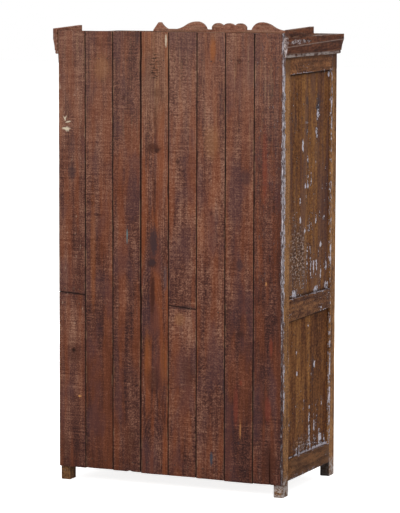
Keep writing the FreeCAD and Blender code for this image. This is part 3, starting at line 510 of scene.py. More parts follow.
PANELS = {
    "lower": dict(
        seam=-0.030,
        held_spots=(
            (0.117, 0.575, 0.011, 0.022, 0.2),
            (0.118, 0.485, 0.010, 0.014, 0.4),
            (-0.079, 0.495, 0.011, 0.018, 0.4),
            (-0.046, 0.460, 0.011, 0.009, 0.3),
            (0.039, 0.339, 0.012, 0.032, 0.2),
            (-0.022, 0.250, 0.010, 0.110, 0.18),
            (-0.075, 0.246, 0.013, 0.050, 0.26),
            (-0.107, 0.258, 0.013, 0.050, 0.20),
            (-0.161, 0.300, 0.010, 0.070, 0.18),
            (-0.131, 0.208, 0.010, 0.040, 0.18),
            (0.044, 0.169, 0.130, 0.040, 0.14),
            (-0.126, 0.162, 0.110, 0.050, 0.18),
        ),
        slate_spots=((-0.060, 0.480, 0.016, 0.090, 0.35),),
        crazed=(0.060, 0.180, 0.120, 0.050, 0.5),
        ledge=(0.25, 0.15),
        rear_pale=0.16,
        shade=0.16,
        seed=43,
    ),
    "upper": dict(
        seam=0.012,
        held_spots=(
            (-0.098, 1.560, 0.026, 0.060, 0.25),
            (-0.099, 1.511, 0.020, 0.045, 0.28),
            (-0.083, 1.454, 0.013, 0.050, 0.24),
            (-0.073, 1.368, 0.012, 0.060, 0.16),
            (0.026, 1.597, 0.011, 0.020, 0.16),
            (0.030, 1.505, 0.011, 0.040, 0.15),
            (0.067, 1.418, 0.012, 0.034, 0.34),
            (0.012, 1.309, 0.009, 0.090, 0.15),
            (0.036, 1.247, 0.012, 0.014, 0.34),
            (0.009, 1.259, 0.012, 0.040, 0.24),
            (-0.025, 1.265, 0.012, 0.036, 0.24),
            (-0.196, 1.223, 0.014, 0.026, 0.2),
            (0.095, 1.184, 0.013, 0.020, 0.17),
            (0.087, 1.108, 0.013, 0.022, 0.3),
            (-0.084, 1.095, 0.020, 0.032, 0.26),
            (-0.122, 1.113, 0.014, 0.026, 0.24),
            (-0.170, 1.096, 0.013, 0.020, 0.24),
            (0.038, 1.061, 0.013, 0.020, 0.3),
            (-0.006, 1.065, 0.013, 0.026, 0.26),
            (-0.138, 0.991, 0.017, 0.017, 0.4),
            (-0.032, 0.898, 0.011, 0.060, 0.22),
            (-0.060, 0.911, 0.011, 0.055, 0.34),
            (-0.095, 0.900, 0.011, 0.050, 0.36),
            (-0.140, 0.887, 0.011, 0.045, 0.34),
            (-0.191, 0.911, 0.020, 0.050, 0.2),
            (-0.216, 0.813, 0.044, 0.017, 0.3),
            (-0.081, 0.812, 0.030, 0.012, 0.45),
            (0.143, 0.814, 0.055, 0.022, 0.24),
            (-0.215, 1.690, 0.014, 0.020, 0.2),
        ),
        slate_spots=(
            (-0.098, 1.560, 0.030, 0.065, 0.9),
            (0.020, 1.590, 0.016, 0.026, 0.6),
            (0.150, 1.520, 0.014, 0.060, 0.4),
        ),
        crazed=(0.115, 0.964, 0.120, 0.165, 0.9),
        ledge=(0.1, 0.5),
        rear_pale=0.12,
        shade=-0.02,
        seed=31,
    ),
}
SEAM_HALF = 0.0004
PANEL_ARRIS = 0.0012
for bay_number, (bay, looks) in enumerate(PANELS.items()):
    wood = panel_wood(f"{bay}_panel_wood", bay_number, **looks)
    seam = looks["seam"]
    for side, sign in SIDES.items():
        node = f"{side}_{bay}_panel"
        faces, (fore, aft) = stretch_of(node, ACROSS), stretch_of(node, DEEP)
        shape = new_shape()
        for number, span in enumerate(((fore, seam - SEAM_HALF), (seam + SEAM_HALF, aft))):
            section, seed = oblong(faces, span), 50 + number + sign
            lay_timber(shape, section, UPRIGHT, *stretch_of(node, UPRIGHT), PANEL_ARRIS, seed, wander=0.0003)
        fit(shape, f"{node}_wood", [wood], "case", node)


# Back rails and front rails: cross pieces between the posts. The back boards are nailed to the back ones; the
# front ones show between the doors, and the bolts go into two of them. The wood is the posts' wood.
MICRONS = 1e6


def solids_of(node):
    """The closed solids of a CAD node, each as corners and triangles with the shared corners joined."""
    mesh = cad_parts[node].data
    places, index, triangles, loose = [], {}, [], set()
    mesh.calc_loop_triangles()
    for triangle in mesh.loop_triangles:
        corners = []
        for vertex in triangle.vertices:
            spot = mesh.vertices[vertex].co
            key = tuple(round(part * MICRONS) for part in spot)
            if key not in index:
                index[key] = len(places)
                places.append(spot.copy())
            corners.append(index[key])
        if len(set(corners)) < 3:
            continue
        triangles.append(corners)
        for pair in zip(corners, corners[1:] + corners[:1]):
            if pair[::-1] in loose:
                loose.remove(pair[::-1])
            else:
                loose.add(pair)
        if not loose:
            yield places, triangles
            places, index, triangles = [], {}, []
    if triangles:
        yield places, triangles


FLAT_TURN, SHARP_EDGE = 0.01, 0.5
WIDE_FACE = 0.006


def softened(node, arris, margin=0.004):
    """A CAD node's solids as one shape, with their sharp edges rounded and marked as worn."""
    shape = new_shape()
    worn = shape.verts.layers.float["arris"]
    for places, triangles in solids_of(node):
        solid = new_shape()
        mark = solid.verts.layers.float["arris"]
        corners = [solid.verts.new(spot) for spot in places]
        for triangle in triangles:
            solid.faces.new([corners[i] for i in triangle])
        bmesh.ops.dissolve_limit(solid, angle_limit=FLAT_TURN, verts=solid.verts[:], edges=solid.edges[:])
        solid.normal_update()
        sharp = [edge for edge in solid.edges if edge.is_manifold and edge.calc_face_angle(0) > SHARP_EDGE]
        rounded = bmesh.ops.bevel(
            solid, geom=sharp, offset=arris, segments=2, profile=0.5, affect="EDGES", clamp_overlap=True
        )
        for face in rounded["faces"]:
            for vert in face.verts:
                vert[mark] = ON_ARRIS
        wide = []
        for face in solid.faces:
            breadth = 2 * face.calc_area() / max(1e-6, face.calc_perimeter())
            if breadth > WIDE_FACE:
                wide.append(face)
        for face in wide:
            bmesh.ops.inset_individual(solid, faces=[face], thickness=margin, use_even_offset=True)
            for vert in face.verts:
                vert[mark] = 0
        twins = {vert: shape.verts.new(vert.co) for vert in solid.verts}
        for vert, twin in twins.items():
            twin[worn] = vert[mark]
        for face in solid.faces:
            shape.faces.new([twins[vert] for vert in face.verts]).smooth = True
        solid.free()
    return shape


POST_INNER = stretch_of("back_right_post", ACROSS)[0]
BACK_RAIL_ARRIS, FRONT_RAIL_ARRIS = 0.002, 0.0018
rail_wood = stripped_wood("stripped_rail", ACROSS, *OCHRES, seed=61)
shape = new_shape()
for number, level in enumerate(RAIL_LEVELS):
    section = oblong(stretch_of("back_rails", DEEP), level)
    lay_timber(shape, section, ACROSS, -POST_INNER, POST_INNER, BACK_RAIL_ARRIS, seed=63 + number)
fit(shape, "back_rails_wood", [rail_wood], "case", "back_rails")
for rail in RAIL_TONES:
    node = f"front_{rail}_rail"
    fit(softened(node, FRONT_RAIL_ARRIS), f"{node}_wood", [rail_wood], "case", node)


# Floor, shelves, top and cleats: plain boards notched round the posts, never painted, gone brown with age.
# The loose shelves and the top lie on cleats that are nailed to the posts.
UNPAINTED = -0.3
SHELF_ARRIS, CLEAT_ARRIS = 0.0015, 0.0012
INSIDE_TONES = tone(158, 122, 80), tone(131, 97, 62), tone(92, 64, 40)
CLEAT_TONES = tone(150, 114, 74), tone(122, 90, 57), tone(84, 58, 37)
inside_wood = stripped_wood("inside_wood", ACROSS, *INSIDE_TONES, seed=71, residue=UNPAINTED)
cleat_wood = stripped_wood("cleat_wood", DEEP, *CLEAT_TONES, seed=77, residue=UNPAINTED)
for node in ("bottom_board", "fixed_shelf", "upper_shelves", "lower_shelf", "top_board"):
    fit(softened(node, SHELF_ARRIS), f"{node}_wood", [inside_wood], "case", node)
node = "shelf_cleats"
fit(softened(node, CLEAT_ARRIS), f"{node}_wood", [cleat_wood], "case", node)


# Back boards: eight rough-sawn softwood boards side by side, nailed upright over the back, never painted and
# gone red-brown. The saw left fine lines across the grain. The first and the fifth, counted from the right,
# are pieced from two lengths.
def rubbed_edge(place, colour):
    """The first board's outer edge, rubbed pale."""
    x, _, z = place.parts()
    rubbed = place.noise((90, 90, 26), 6, 0.72, 98) + x.smooth(0.488, 0.4965) * 0.16
    height = z.smooth(0.5, 0.75) * z.smooth(1.80, 1.66)
    colour = (x.smooth(0.4935, 0.4955) * 0.85).over(colour, tone(110, 76, 60))
    return (rubbed.smooth(0.60, 0.72) * height * 0.7).over(colour, tone(178, 152, 132))


def painted_edge(place, colour):
    """The last board's outer edge, where the side's white paint has stayed."""
    x, _, z = place.parts()
    worn_edge = place.noise((240, 110, 45), 7, 0.78, 99) + z.smooth(0.4, 1.0) * 0.1 - 0.05
    kept = worn_edge * 1.2 + x.smooth(-0.487, -0.4985) * 0.22
    colour = (kept.smooth(0.70, 0.78) * 0.7).over(colour, tone(58, 42, 40))
    return (kept.smooth(0.78, 1.0) * 0.92).over(colour, tone(214, 206, 212))


def sawn_board(name, heart, ringed, sawn, warm, light, marks, seed, edge=None):
    """One board's wood. heart is where the grain peaks in x; marks are its knots, stains and chips."""
    material, place = new_finish(name)
    x, _, z = place.parts()
    ragged = place.noise((120, 120, 110), 4, 0.65, seed + 9) * 3 - 1.5
    swirl, lift = 0, light - 0.52 - 0.5 * ringed
    for kind, x_spot, z_spot, x_reach, z_reach, strength, *turn in marks:
        if kind == "knot":
            swirl = place.patch((x_spot, 0, z_spot), (2.6 * x_reach, 0, 2.6 * z_reach)) * 0.02 + swirl
        if kind == "tone":
            lift = place.patch((x_spot, 0, z_spot), (x_reach, 0, z_reach)) * strength + lift
    bend = place.noise((4, 1, 1.3), 3, 0.5, seed)
    deep = place.noise((0.4, 1, 2.1), 2, 0.5, seed + 1) * 0.3 - 0.12
    offset = x - heart + (bend - 0.5) * 0.05
    square = offset * offset + deep * deep
    rings = square.sum("SQRT", square) + swirl
    fine = place.noise((210, 210, 4), 4, 0.62, seed + 2)
    wave = rings * 800 + fine * 4
    grain = wave.sum("SINE", wave) * 0.5 + 0.5
    streak = place.noise((75, 75, 2.2), 5, 0.62, seed + 3)
    cloud = place.noise((19, 19, 6), 3, 0.6, seed + 4)
    speck = place.noise((170, 170, 230), 3, 0.6, seed + 10)
    kerf = place.noise((6, 6, 150), 2, 0.5, seed + 7) + place.noise((40, 40, 165), 3, 0.6, seed + 11) - 1
    rough_sawn = place.noise((14, 14, 7), 3, 0.55, seed + 8).smooth(0.3, 0.6) * 0.5 + 0.45
    figure = streak * 0.42 + cloud * 0.52 + fine * 0.2 + speck + grain * ringed
    figure = figure + kerf * rough_sawn * (sawn * 1.1) + lift
    figure = figure + z.smooth(0.1, 1.7) * 0.135 - 0.135
    colour = figure.ramp(
        (0.22, tone(50, 30, 28)),
        (0.42, tone(86, 52, 43)),
        (0.56, tone(114, 75, 61)),
        (0.8, tone(158, 117, 95)),
    )
    rust = place.noise((26, 26, 2.4), 4, 0.55, seed + 5).smooth(0.42, 0.62)
    colour = (rust * (warm + 0.08)).over(colour, tone(136, 72, 38))
    plum = place.noise((11, 11, 4), 3, 0.55, seed + 6).smooth(0.48, 0.66)
    colour = (plum * 0.45).over(colour, tone(76, 51, 54))
    colour = (z.smooth(1.1, 1.8) * 0.14).over(colour, tone(124, 96, 88))
    combed = place.noise((230, 230, 5), 4, 0.6, seed + 14)
    faded = z.smooth(1.2, 1.75)
    colour = (combed.smooth(0.54, 0.7) * faded * 0.5).over(colour, tone(152, 120, 92))
    colour = (combed.smooth(0.46, 0.32) * faded * 0.4).over(colour, tone(74, 56, 54))
    checks = place.noise((45, 45, 240), 3, 0.6, seed + 13).smooth(0.52, 0.4)
    for kind, x_spot, z_spot, x_reach, z_reach, strength, *turn in marks:
        if kind == "tone":
            continue
        uneven = ragged * 0.5 if kind in ("chip", "scrape", "green") else ragged * 0.35
        oval = place.patch((x_spot, 0, z_spot), (x_reach, 0, z_reach), uneven, *turn) * strength
        if kind == "checks":
            oval = oval * checks
        colour = oval.over(colour, MARKS[kind])
    arris = place.node("Attribute", out=2, attribute_name="arris")
    lit = arris.smooth(0.35, 0.6) * place.noise((8, 8, 16), 4, 0.65, seed + 12).smooth(0.48, 0.68)
    colour = (lit * 0.5).over(colour, tone(156, 120, 92))
    colour = (arris.smooth(0.73, 0.94) * 0.95).over(colour, tone(27, 17, 15))
    if edge:
        colour = edge(place, colour)
    height = kerf * 0.5 + grain * 0.2 + streak * 0.4 + fine * 0.3
    lay_on(material, colour, 0.7 + fine * 0.2, height, 0.0014, 0.1)
    return material


MARKS = {
    "knot": tone(56, 33, 28),
    "checks": tone(40, 28, 24),
    "gap": tone(32, 21, 18),
    "stain": tone(60, 44, 46),
    "shade": tone(66, 36, 27),
    "orange": tone(150, 86, 42),
    "red": tone(126, 58, 42),
    "worn": tone(152, 106, 70),
    "chip": tone(206, 190, 166),
    "scrape": tone(196, 138, 84),
    "green": tone(92, 118, 120),
    "slate": tone(58, 66, 76),
}
BOARDS = (
    (0.420, 0.03, 0.42, 0.25, 0.015, (
        ("chip", 0.470, 1.511, 0.0035, 0.016, 1, -32),
        ("chip", 0.465, 1.513, 0.003, 0.013, 1, 25),
        ("chip", 0.453, 1.497, 0.016, 0.0035, 1, -12),
        ("chip", 0.464, 1.469, 0.024, 0.006, 1),
        ("chip", 0.458, 1.467, 0.010, 0.014, 1),
        ("stain", 0.436, 1.292, 0.024, 0.045, 0.7),
        ("tone", 0.440, 1.200, 0.300, 0.500, -0.05),
        ("tone", 0.440, 0.660, 0.120, 0.140, 0.05),
        ("stain", 0.440, 0.789, 0.080, 0.011, 0.35),
        ("gap", 0.437, 0.7886, 0.200, 0.0045, 0.85, 3.7),
        ("knot", 0.429, 0.551, 0.012, 0.017, 0.85),
        ("shade", 0.430, 0.540, 0.040, 0.060, 0.4),
        ("gap", 0.431, 0.551, 0.009, 0.010, 0.8),
        ("scrape", 0.402, 0.360, 0.011, 0.006, 0.9),
        ("shade", 0.470, 0.130, 0.030, 0.090, 0.5),
    )),
    (0.310, 0.04, 0.46, 0.26, -0.01, (
        ("orange", 0.341, 0.980, 0.016, 0.330, 0.3),
        ("worn", 0.300, 1.720, 0.050, 0.070, 0.3),
        ("tone", 0.310, 1.750, 0.300, 0.500, -0.05),
        ("tone", 0.310, 0.200, 0.300, 0.700, -0.12),
    )),
    (0.190, 0.03, 0.40, 0.28, -0.025, (
        ("green", 0.186, 1.042, 0.0035, 0.040, 0.95),
        ("knot", 0.200, 1.600, 0.010, 0.013, 0.6),
        ("shade", 0.170, 0.170, 0.030, 0.110, 0.5),
        ("stain", 0.140, 1.850, 0.010, 0.040, 0.6),
        ("tone", 0.190, 1.700, 0.300, 0.600, -0.08),
    )),
    (0.064, 0.13, 0.30, 0.50, 0.03, (
        ("worn", 0.060, 1.700, 0.120, 0.300, 0.15),
        ("checks", 0.060, 1.722, 0.034, 0.080, 0.95),
        ("shade", 0.050, 1.625, 0.040, 0.030, 0.35),
        ("shade", 0.058, 1.500, 0.012, 0.120, 0.4),
        ("shade", 0.068, 1.400, 0.045, 0.030, 0.7),
        ("knot", 0.053, 1.392, 0.014, 0.013, 0.8),
        ("shade", 0.064, 1.200, 0.010, 0.160, 0.5),
        ("stain", 0.067, 1.018, 0.026, 0.090, 0.9),
        ("knot", 0.073, 0.930, 0.030, 0.026, 0.85),
        ("stain", 0.073, 0.932, 0.022, 0.019, 0.7),
        ("shade", 0.071, 0.805, 0.014, 0.125, 0.95),
        ("orange", 0.094, 0.560, 0.018, 0.140, 0.35),
        ("orange", 0.022, 0.520, 0.018, 0.120, 0.35),
        ("shade", 0.068, 0.449, 0.045, 0.070, 0.6),
        ("tone", 0.064, 0.750, 0.300, 0.550, -0.09),
        ("slate", 0.014, 0.870, 0.010, 0.070, 0.45),
        ("chip", 0.012, 1.838, 0.006, 0.034, 0.75),
    )),
    (-0.060, 0.03, 0.50, 0.30, 0.02, (
        ("tone", -0.055, 0.670, 0.140, 0.120, 0.09),
        ("worn", -0.050, 0.705, 0.030, 0.034, 0.4),
        ("stain", -0.075, 0.754, 0.070, 0.012, 0.5),
        ("gap", -0.062, 0.7555, 0.200, 0.0045, 0.75, 4.6),
        ("tone", -0.060, 0.200, 0.300, 0.400, 0.04),
        ("knot", -0.040, 1.348, 0.012, 0.014, 0.6),
        ("shade", -0.090, 0.490, 0.040, 0.080, 0.4),
    )),
    (-0.188, 0.07, 0.40, 0.30, 0.03, (
        ("tone", -0.188, 1.650, 0.300, 0.600, -0.04),
        ("orange", -0.195, 1.801, 0.018, 0.060, 0.55),
        ("worn", -0.190, 1.430, 0.040, 0.090, 0.35),
        ("knot", -0.189, 1.145, 0.010, 0.013, 0.5),
        ("stain", -0.2465, 0.441, 0.009, 0.045, 0.7),
        ("slate", -0.193, 0.142, 0.009, 0.040, 0.85),
    )),
    (-0.310, 0.03, 0.42, 0.20, -0.015, (
        ("knot", -0.308, 1.759, 0.014, 0.017, 0.6),
        ("stain", -0.340, 1.293, 0.030, 0.040, 0.5),
        ("stain", -0.316, 0.941, 0.020, 0.030, 0.6),
        ("knot", -0.318, 0.660, 0.020, 0.018, 0.7),
        ("red", -0.300, 0.360, 0.014, 0.110, 0.5),
        ("red", -0.322, 0.462, 0.010, 0.014, 0.5),
        ("scrape", -0.320, 0.268, 0.0035, 0.045, 0.6),
        ("stain", -0.313, 0.214, 0.006, 0.008, 0.8),
        ("tone", -0.310, 0.300, 0.300, 0.700, -0.06),
    )),
    (-0.440, 0.05, 0.40, 0.25, -0.03, (
        ("red", -0.422, 1.340, 0.016, 0.200, 0.4),
        ("shade", -0.487, 1.000, 0.016, 0.900, 0.45),
        ("tone", -0.440, 1.000, 0.300, 0.800, -0.06),
        ("red", -0.452, 0.615, 0.010, 0.050, 0.55),
        ("red", -0.440, 0.360, 0.018, 0.070, 0.5),
        ("scrape", -0.430, 0.870, 0.005, 0.010, 0.7),
        ("shade", -0.450, 0.140, 0.040, 0.110, 0.6),
    )),
)
CASE_HALF = stretch_of("back_right_post", ACROSS)[1]
CORNICE_LOW = stretch_of("front_cornice", UPRIGHT)[0]
BOARD_FACES = stretch_of("back_board_1", DEEP)
BOARD_TOP = stretch_of("back_board_1", UPRIGHT)[1]
BOARD_PITCH = 2 * CASE_HALF / len(BOARDS)
BOARD_LAP = 0.00025
BOARD_ARRIS = 0.0014
OUTER_RIGHT, OUTER_LEFT = 0.497, -0.4996
BOARD_EDGES = {1: rubbed_edge, 8: painted_edge}
BOARD_FEET = (0.060, 0.062, 0.060, 0.058, 0.058, 0.056, 0.054, 0.055)
BOARD_CRACKS = {3: (0.174, 0.0012, 0.140, 0.008), 8: (-0.449, 0.0022, 0.190, 0.012)}
FOOT_NOTCHES = {3: (0.174, 0.007)}
NOTCH_HALF = 0.004
BOARD_JOINTS = {1: (0.7925, 0.008), 5: (0.7605, 0.010)}
JOINT_HALF = 0.0006
LIP_THICK, LIP_WIDE = 0.006, 0.0025
SPREAD, SPREAD_FROM = 0.0024, 0.49


def board_edge(number):
    """Where a board's right edge lies; the boards are counted from the right."""
    return CASE_HALF - (number - 1) * BOARD_PITCH


for number, looks in enumerate(BOARDS, start=1):
    wood = sawn_board(f"back_board_wood_{number}", *looks, seed=11 * number, edge=BOARD_EDGES.get(number))
    right = min(OUTER_RIGHT, board_edge(number) + BOARD_LAP)
    left = max(OUTER_LEFT, board_edge(number + 1) - BOARD_LAP)
    splits = []
    if number in BOARD_CRACKS:
        spot, *crack = BOARD_CRACKS[number]
        splits = [(right - spot, *crack)]
    notch_spot, notch = FOOT_NOTCHES.get(number, (0, 0))

    def foot(across, depth):
        ragged = 0.0016 * noise.noise(Vector((across * 60, number, 0)))
        return BOARD_FEET[number - 1] + ragged + notch * max(0, 1 - abs(across - notch_spot) / NOTCH_HALF)

    def head(across, depth):
        return BOARD_TOP - 0.001 + 0.001 * noise.noise(Vector((across * 40, number, 5)))

    section = oblong((left, right), BOARD_FACES)
    if number == 4:
        # Its outer edge has shrunk away from the third board, down to a lip.
        lip, shrunk = BOARD_FACES[0] + LIP_THICK, right - LIP_WIDE
        section[2:3] = [(right, lip), (shrunk, lip), (shrunk, BOARD_FACES[1])]
    lengths = [(foot, head)]
    if number in BOARD_JOINTS:
        joint, slope = BOARD_JOINTS[number]

        def sawn_across(across, clear):
            uneven = 0.0012 * noise.noise(Vector((across * 70, 3, number)))
            return joint - slope * (right - across) / BOARD_PITCH + uneven + clear

        lengths = [
            (foot, lambda across, depth: sawn_across(across, -JOINT_HALF)),
            (lambda across, depth: sawn_across(across, JOINT_HALF), head),
        ]
    shape = new_shape()
    for start, end in lengths:
        lay_timber(shape, section, UPRIGHT, start, end, BOARD_ARRIS, number, wander=0.0003, splits=splits)
    if number == 1:
        # At the top it spreads to meet the end of the cornice.
        for corner in shape.verts:
            if corner.co.x > SPREAD_FROM and corner.co.z > CORNICE_LOW:
                corner.co.x += SPREAD
    fit(shape, f"back_board_{number}_wood", [wood], "case", f"back_board_{number}")


# Nails: hand-driven iron nails through the back boards into the three back rails, two more of them above each
# butt joint. Their heads stand a little proud and have gone black.
def dark_iron(name, seed, rusty):
    material, place = new_finish(name)
    mottle = place.noise((220, 220, 220), 4, 0.6, seed)
    rust = place.noise((900, 900, 900), 4, 0.65, seed + 1)
    colour = mottle.ramp((0.35, tone(38, 34, 33)), (0.65, tone(78, 72, 68)))
    red = (rust + mottle * 0.5).smooth(0.95 - rusty, 1.1 - rusty)
    colour = red.over(colour, tone(104, 62, 40))
    lay_on(material, colour, 0.42 + mottle * 0.25 + red * 0.2, rust, 0.0003, 0.5)
    shader = material.node_tree.nodes["Principled BSDF"]
    material.node_tree.links.new((0.85 - red * 0.8).socket, shader.inputs["Metallic"])
    return material


def head_tree(name, sides, slotted):
    """A tree that sets a round head on every point, turned to face as the point's attribute says."""
    tree = bpy.data.node_groups.new(name, "GeometryNodeTree")
    face = tree.interface
    face.new_socket(name="Geometry", in_out="OUTPUT", socket_type="NodeSocketGeometry")
    face.new_socket(name="Geometry", in_out="INPUT", socket_type="NodeSocketGeometry")
    for label, kind in (("Head width", "Float"), ("Head height", "Float"), ("Head iron", "Material")):
        face.new_socket(name=label, in_out="INPUT", socket_type="NodeSocket" + kind)

    def add(kind, sockets, out=0, **settings):
        made = tree.nodes.new(kind)
        for key, value in settings.items():
            setattr(made, key, value)
        for key, value in sockets.items():
            if isinstance(value, bpy.types.NodeSocket):
                tree.links.new(value, made.inputs[key])
            else:
                made.inputs[key].default_value = value
        return made.outputs[out]

    given = tree.nodes.new("NodeGroupInput").outputs
    width, height = given["Head width"], given["Head height"]

    def share(part):
        return add("ShaderNodeMath", {0: width, 1: part}, operation="MULTIPLY")

    cone = {"Vertices": sides, "Radius Top": share(0.3), "Radius Bottom": share(0.5), "Depth": height}
    head = add("GeometryNodeMeshCone", cone, fill_type="NGON")
    if slotted:
        size = add("ShaderNodeCombineXYZ", {0: share(1.2), 1: share(0.14), 2: height})
        lift = add("ShaderNodeCombineXYZ", {2: height})
        blade = add("GeometryNodeMeshCube", {"Size": size})
        blade = add("GeometryNodeTransform", {"Geometry": blade, "Translation": lift})
        head = add("GeometryNodeMeshBoolean", {0: head, 1: blade}, operation="DIFFERENCE")
    facing = add("GeometryNodeInputNamedAttribute", {"Name": "facing"}, data_type="FLOAT_VECTOR")
    turned = add("FunctionNodeAlignRotationToVector", {"Vector": facing}, axis="Z")
    spin = add("FunctionNodeRandomValue", {"Max": 3.1, "Seed": 4}, 1, data_type="FLOAT")
    spun = add("FunctionNodeEulerToRotation", {0: add("ShaderNodeCombineXYZ", {2: spin})})
    turned = add("FunctionNodeRotateRotation", {0: turned, 1: spun}, rotation_space="LOCAL")
    size = add("FunctionNodeRandomValue", {"Min": 0.85, "Max": 1.15, "Seed": 9}, 1, data_type="FLOAT")
    each = {"Points": given["Geometry"], "Instance": head, "Rotation": turned, "Scale": size}
    heads = add("GeometryNodeRealizeInstances", {0: add("GeometryNodeInstanceOnPoints", each)})
    heads = add("GeometryNodeSetMaterial", {"Geometry": heads, "Material": given["Head iron"]})
    tree.links.new(heads, tree.nodes.new("NodeGroupOutput").inputs[0])
    return tree


def set_heads(name, tree, width, height, iron, places, body, slot):
    """Heads at the given places, as (spot, facing), made one plain mesh that rides on a body."""
    mesh = bpy.data.meshes.new(name)
    mesh.from_pydata([spot for spot, facing in places], [], [])
    facings = mesh.attributes.new("facing", "FLOAT_VECTOR", "POINT")
    for item, (spot, facing) in zip(facings.data, places):
        item.vector = facing
    piece = bpy.data.objects.new(name, mesh)
    bpy.context.scene.collection.objects.link(piece)
    driven = piece.modifiers.new("heads", "NODES")
    driven.node_group = tree
    values = {"Head width": width, "Head height": height, "Head iron": iron}
    for item in tree.interface.items_tree:
        if item.in_out == "INPUT" and item.name in values:
            driven[item.identifier] = values[item.name]
    seen = piece.evaluated_get(bpy.context.evaluated_depsgraph_get())
    plain = bpy.data.meshes.new_from_object(seen)
    piece.modifiers.remove(driven)
    piece.data = plain
    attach(piece, body)


nail_iron = dark_iron("nail_iron", seed=5, rusty=0.25)
nail_tree = head_tree("nail_heads", sides=10, slotted=False)
NAIL_ROWS = ((0.100, (0.030, 0.092)), (0.748, (0.028, 0.095)), (1.757, (0.024, 0.062, 0.100)))
JOINT_NAILS, ABOVE_JOINT = (0.030, 0.096), 0.014
NAIL_SIZE = (0.0062, 0.0018)
NAIL_DEPTH = BOARD_FACES[1] - 0.0008
nails = []
for number in range(1, len(BOARDS) + 1):
    for row, (level, places) in enumerate(NAIL_ROWS):
        for count, along in enumerate(places):
            shift = 0.006 * noise.noise(Vector((number * 1.7, row * 3.1, count * 2.3)))
            lift = 0.010 * noise.noise(Vector((number * 2.9, row * 1.3, count * 4.7)))
            nails.append((board_edge(number) - along + shift, NAIL_DEPTH, level + lift))
for number, (joint, slope) in BOARD_JOINTS.items():
    nails += [(board_edge(number) - along, NAIL_DEPTH, joint + ABOVE_JOINT) for along in JOINT_NAILS]
facing_back = [(nail, (0, 1, 0)) for nail in nails]
set_heads("back_nails", nail_tree, *NAIL_SIZE, nail_iron, facing_back, "case", "hinge_metal")


# Cornice: a moulding with a bead at its foot, a hollow sloping face and a square lip, mitred at the front
# corners and fixed round the top of the case. The wood is darker and redder than the frame's, with paint
# on the bead.
def cornice_finish(name, axis, dark, middle, pale, end_dark, end_pale, seed):
    """The mouldings' wood; end_dark and end_pale are the colours of the sawn ends at the back."""
    material, place = new_finish(name)
    y, z = place.parts()[1:]
    broad = place.noise(along_grain(axis, 26, 3), 3, 0.5, seed)
    streak = place.noise(along_grain(axis, 150, 5), 5, 0.62, seed + 1)
    fibre = place.noise(along_grain(axis, 520, 20), 3, 0.6, seed + 2)
    speck = place.noise((200, 200, 200), 3, 0.6, seed + 6)
    mottle = place.noise(along_grain(axis, 90, 26), 4, 0.65, seed + 8)
    figure = broad * 0.7 + streak * 0.9 + mottle * 0.8 + fibre * 0.2 + speck * 1.1 - 1.34
    figure = figure + z.smooth(1.828, 1.836) * z.smooth(1.857, 1.853) * 0.07
    stops = (0.24, 0.5, 0.78)
    colour = figure.ramp(*zip(stops, (dark, middle, pale)))
    facing = place.node("NewGeometry", out=1).parts()[1]
    if axis == ACROSS:
        colour = facing.smooth(0.1, -0.3).over(colour, figure.ramp(*zip(stops, CORNICE_TONES)))
    arris = place.node("Attribute", out=2, attribute_name="arris")
    rubbed = arris.smooth(0.3, 1) * place.noise(along_grain(axis, 70, 14), 3, 0.6, seed + 3).smooth(0.4, 0.6)
    colour = (rubbed * 0.5).over(colour, tone(150, 118, 98))
    ends = facing.smooth(0.8, 0.98) * (axis == DEEP)
    weathered = place.noise((110, 110, 90), 5, 0.7, seed + 7).smooth(0.4, 0.66)
    colour = ends.over(colour, (weathered * z.smooth(1.862, 1.852)).over(end_dark, end_pale))
    flecks = place.noise(along_grain(axis, 230, 60), 7, 0.78, seed + 4)
    patches = place.noise((12, 12, 12), 2, 0.5, seed + 5)
    bead = z.smooth(1.788, 1.785) * z.smooth(1.773, 1.775) * (1 - ends)
    colour = (bead * mottle.smooth(0.36, 0.62) * 0.85).over(colour, tone(174, 162, 156))
    scratches = place.noise(along_grain(axis, 130, 42), 6, 0.74, seed + 9).smooth(0.45, 0.54)
    ledge = place.patch((0, 0.195, 1.835), (0, 0.170, 0.017)) * scratches
    rise = z - 1.8255 + y * 0.0296
    scratch = rise.sum("ABSOLUTE", rise).smooth(0.0035, 0.001) * (1 - ends)
    held = flecks * 1.1 + patches * 0.3 + ledge * 0.33 + arris * 0.05 - 0.15
    dirt = held.smooth(0.70, 0.78)
    colour = (dirt * 0.5).over(colour, tone(40, 27, 24))
    paint = held.smooth(0.78, 0.86)
    colour = (paint * 0.85).over(colour, tone(190, 180, 182))
    colour = (scratch * flecks.smooth(0.36, 0.56) * 0.6).over(colour, tone(170, 150, 140))
    rough = 0.55 + fibre * 0.2 + paint * 0.1
    lay_on(material, colour, rough, streak * 0.5 + fibre * 0.4 + paint * 0.5, 0.0010)
    return material


CASE_FRONT = stretch_of("front_left_post", DEEP)[0]
CORNICE = (
    (0, 0), (0.0085, 0), (0.0112, 0.003), (0.0115, 0.006), (0.0108, 0.0095), (0.010, 0.012), (0.014, 0.015),
    (0.0151, 0.026), (0.0168, 0.0375), (0.0192, 0.049), (0.022, 0.060), (0.022, 0.082), (0, 0.082),
)
CORNICE_RUN = dict(arris=0.0012, wander=0.0003, step=0.03)
CORNICE_TONES = tone(34, 17, 11), tone(76, 42, 29), tone(122, 75, 52)
END_TONES = {
    "left": (tone(84, 56, 46), tone(196, 184, 182)),
    "right": (tone(112, 74, 60), tone(152, 114, 96)),
}


def side_mitre(level, across):
    return CASE_FRONT - (abs(across) - CASE_HALF)


def right_mitre(depth, level):
    return CASE_HALF + CASE_FRONT - depth


def left_mitre(depth, level):
    return -right_mitre(depth, level)


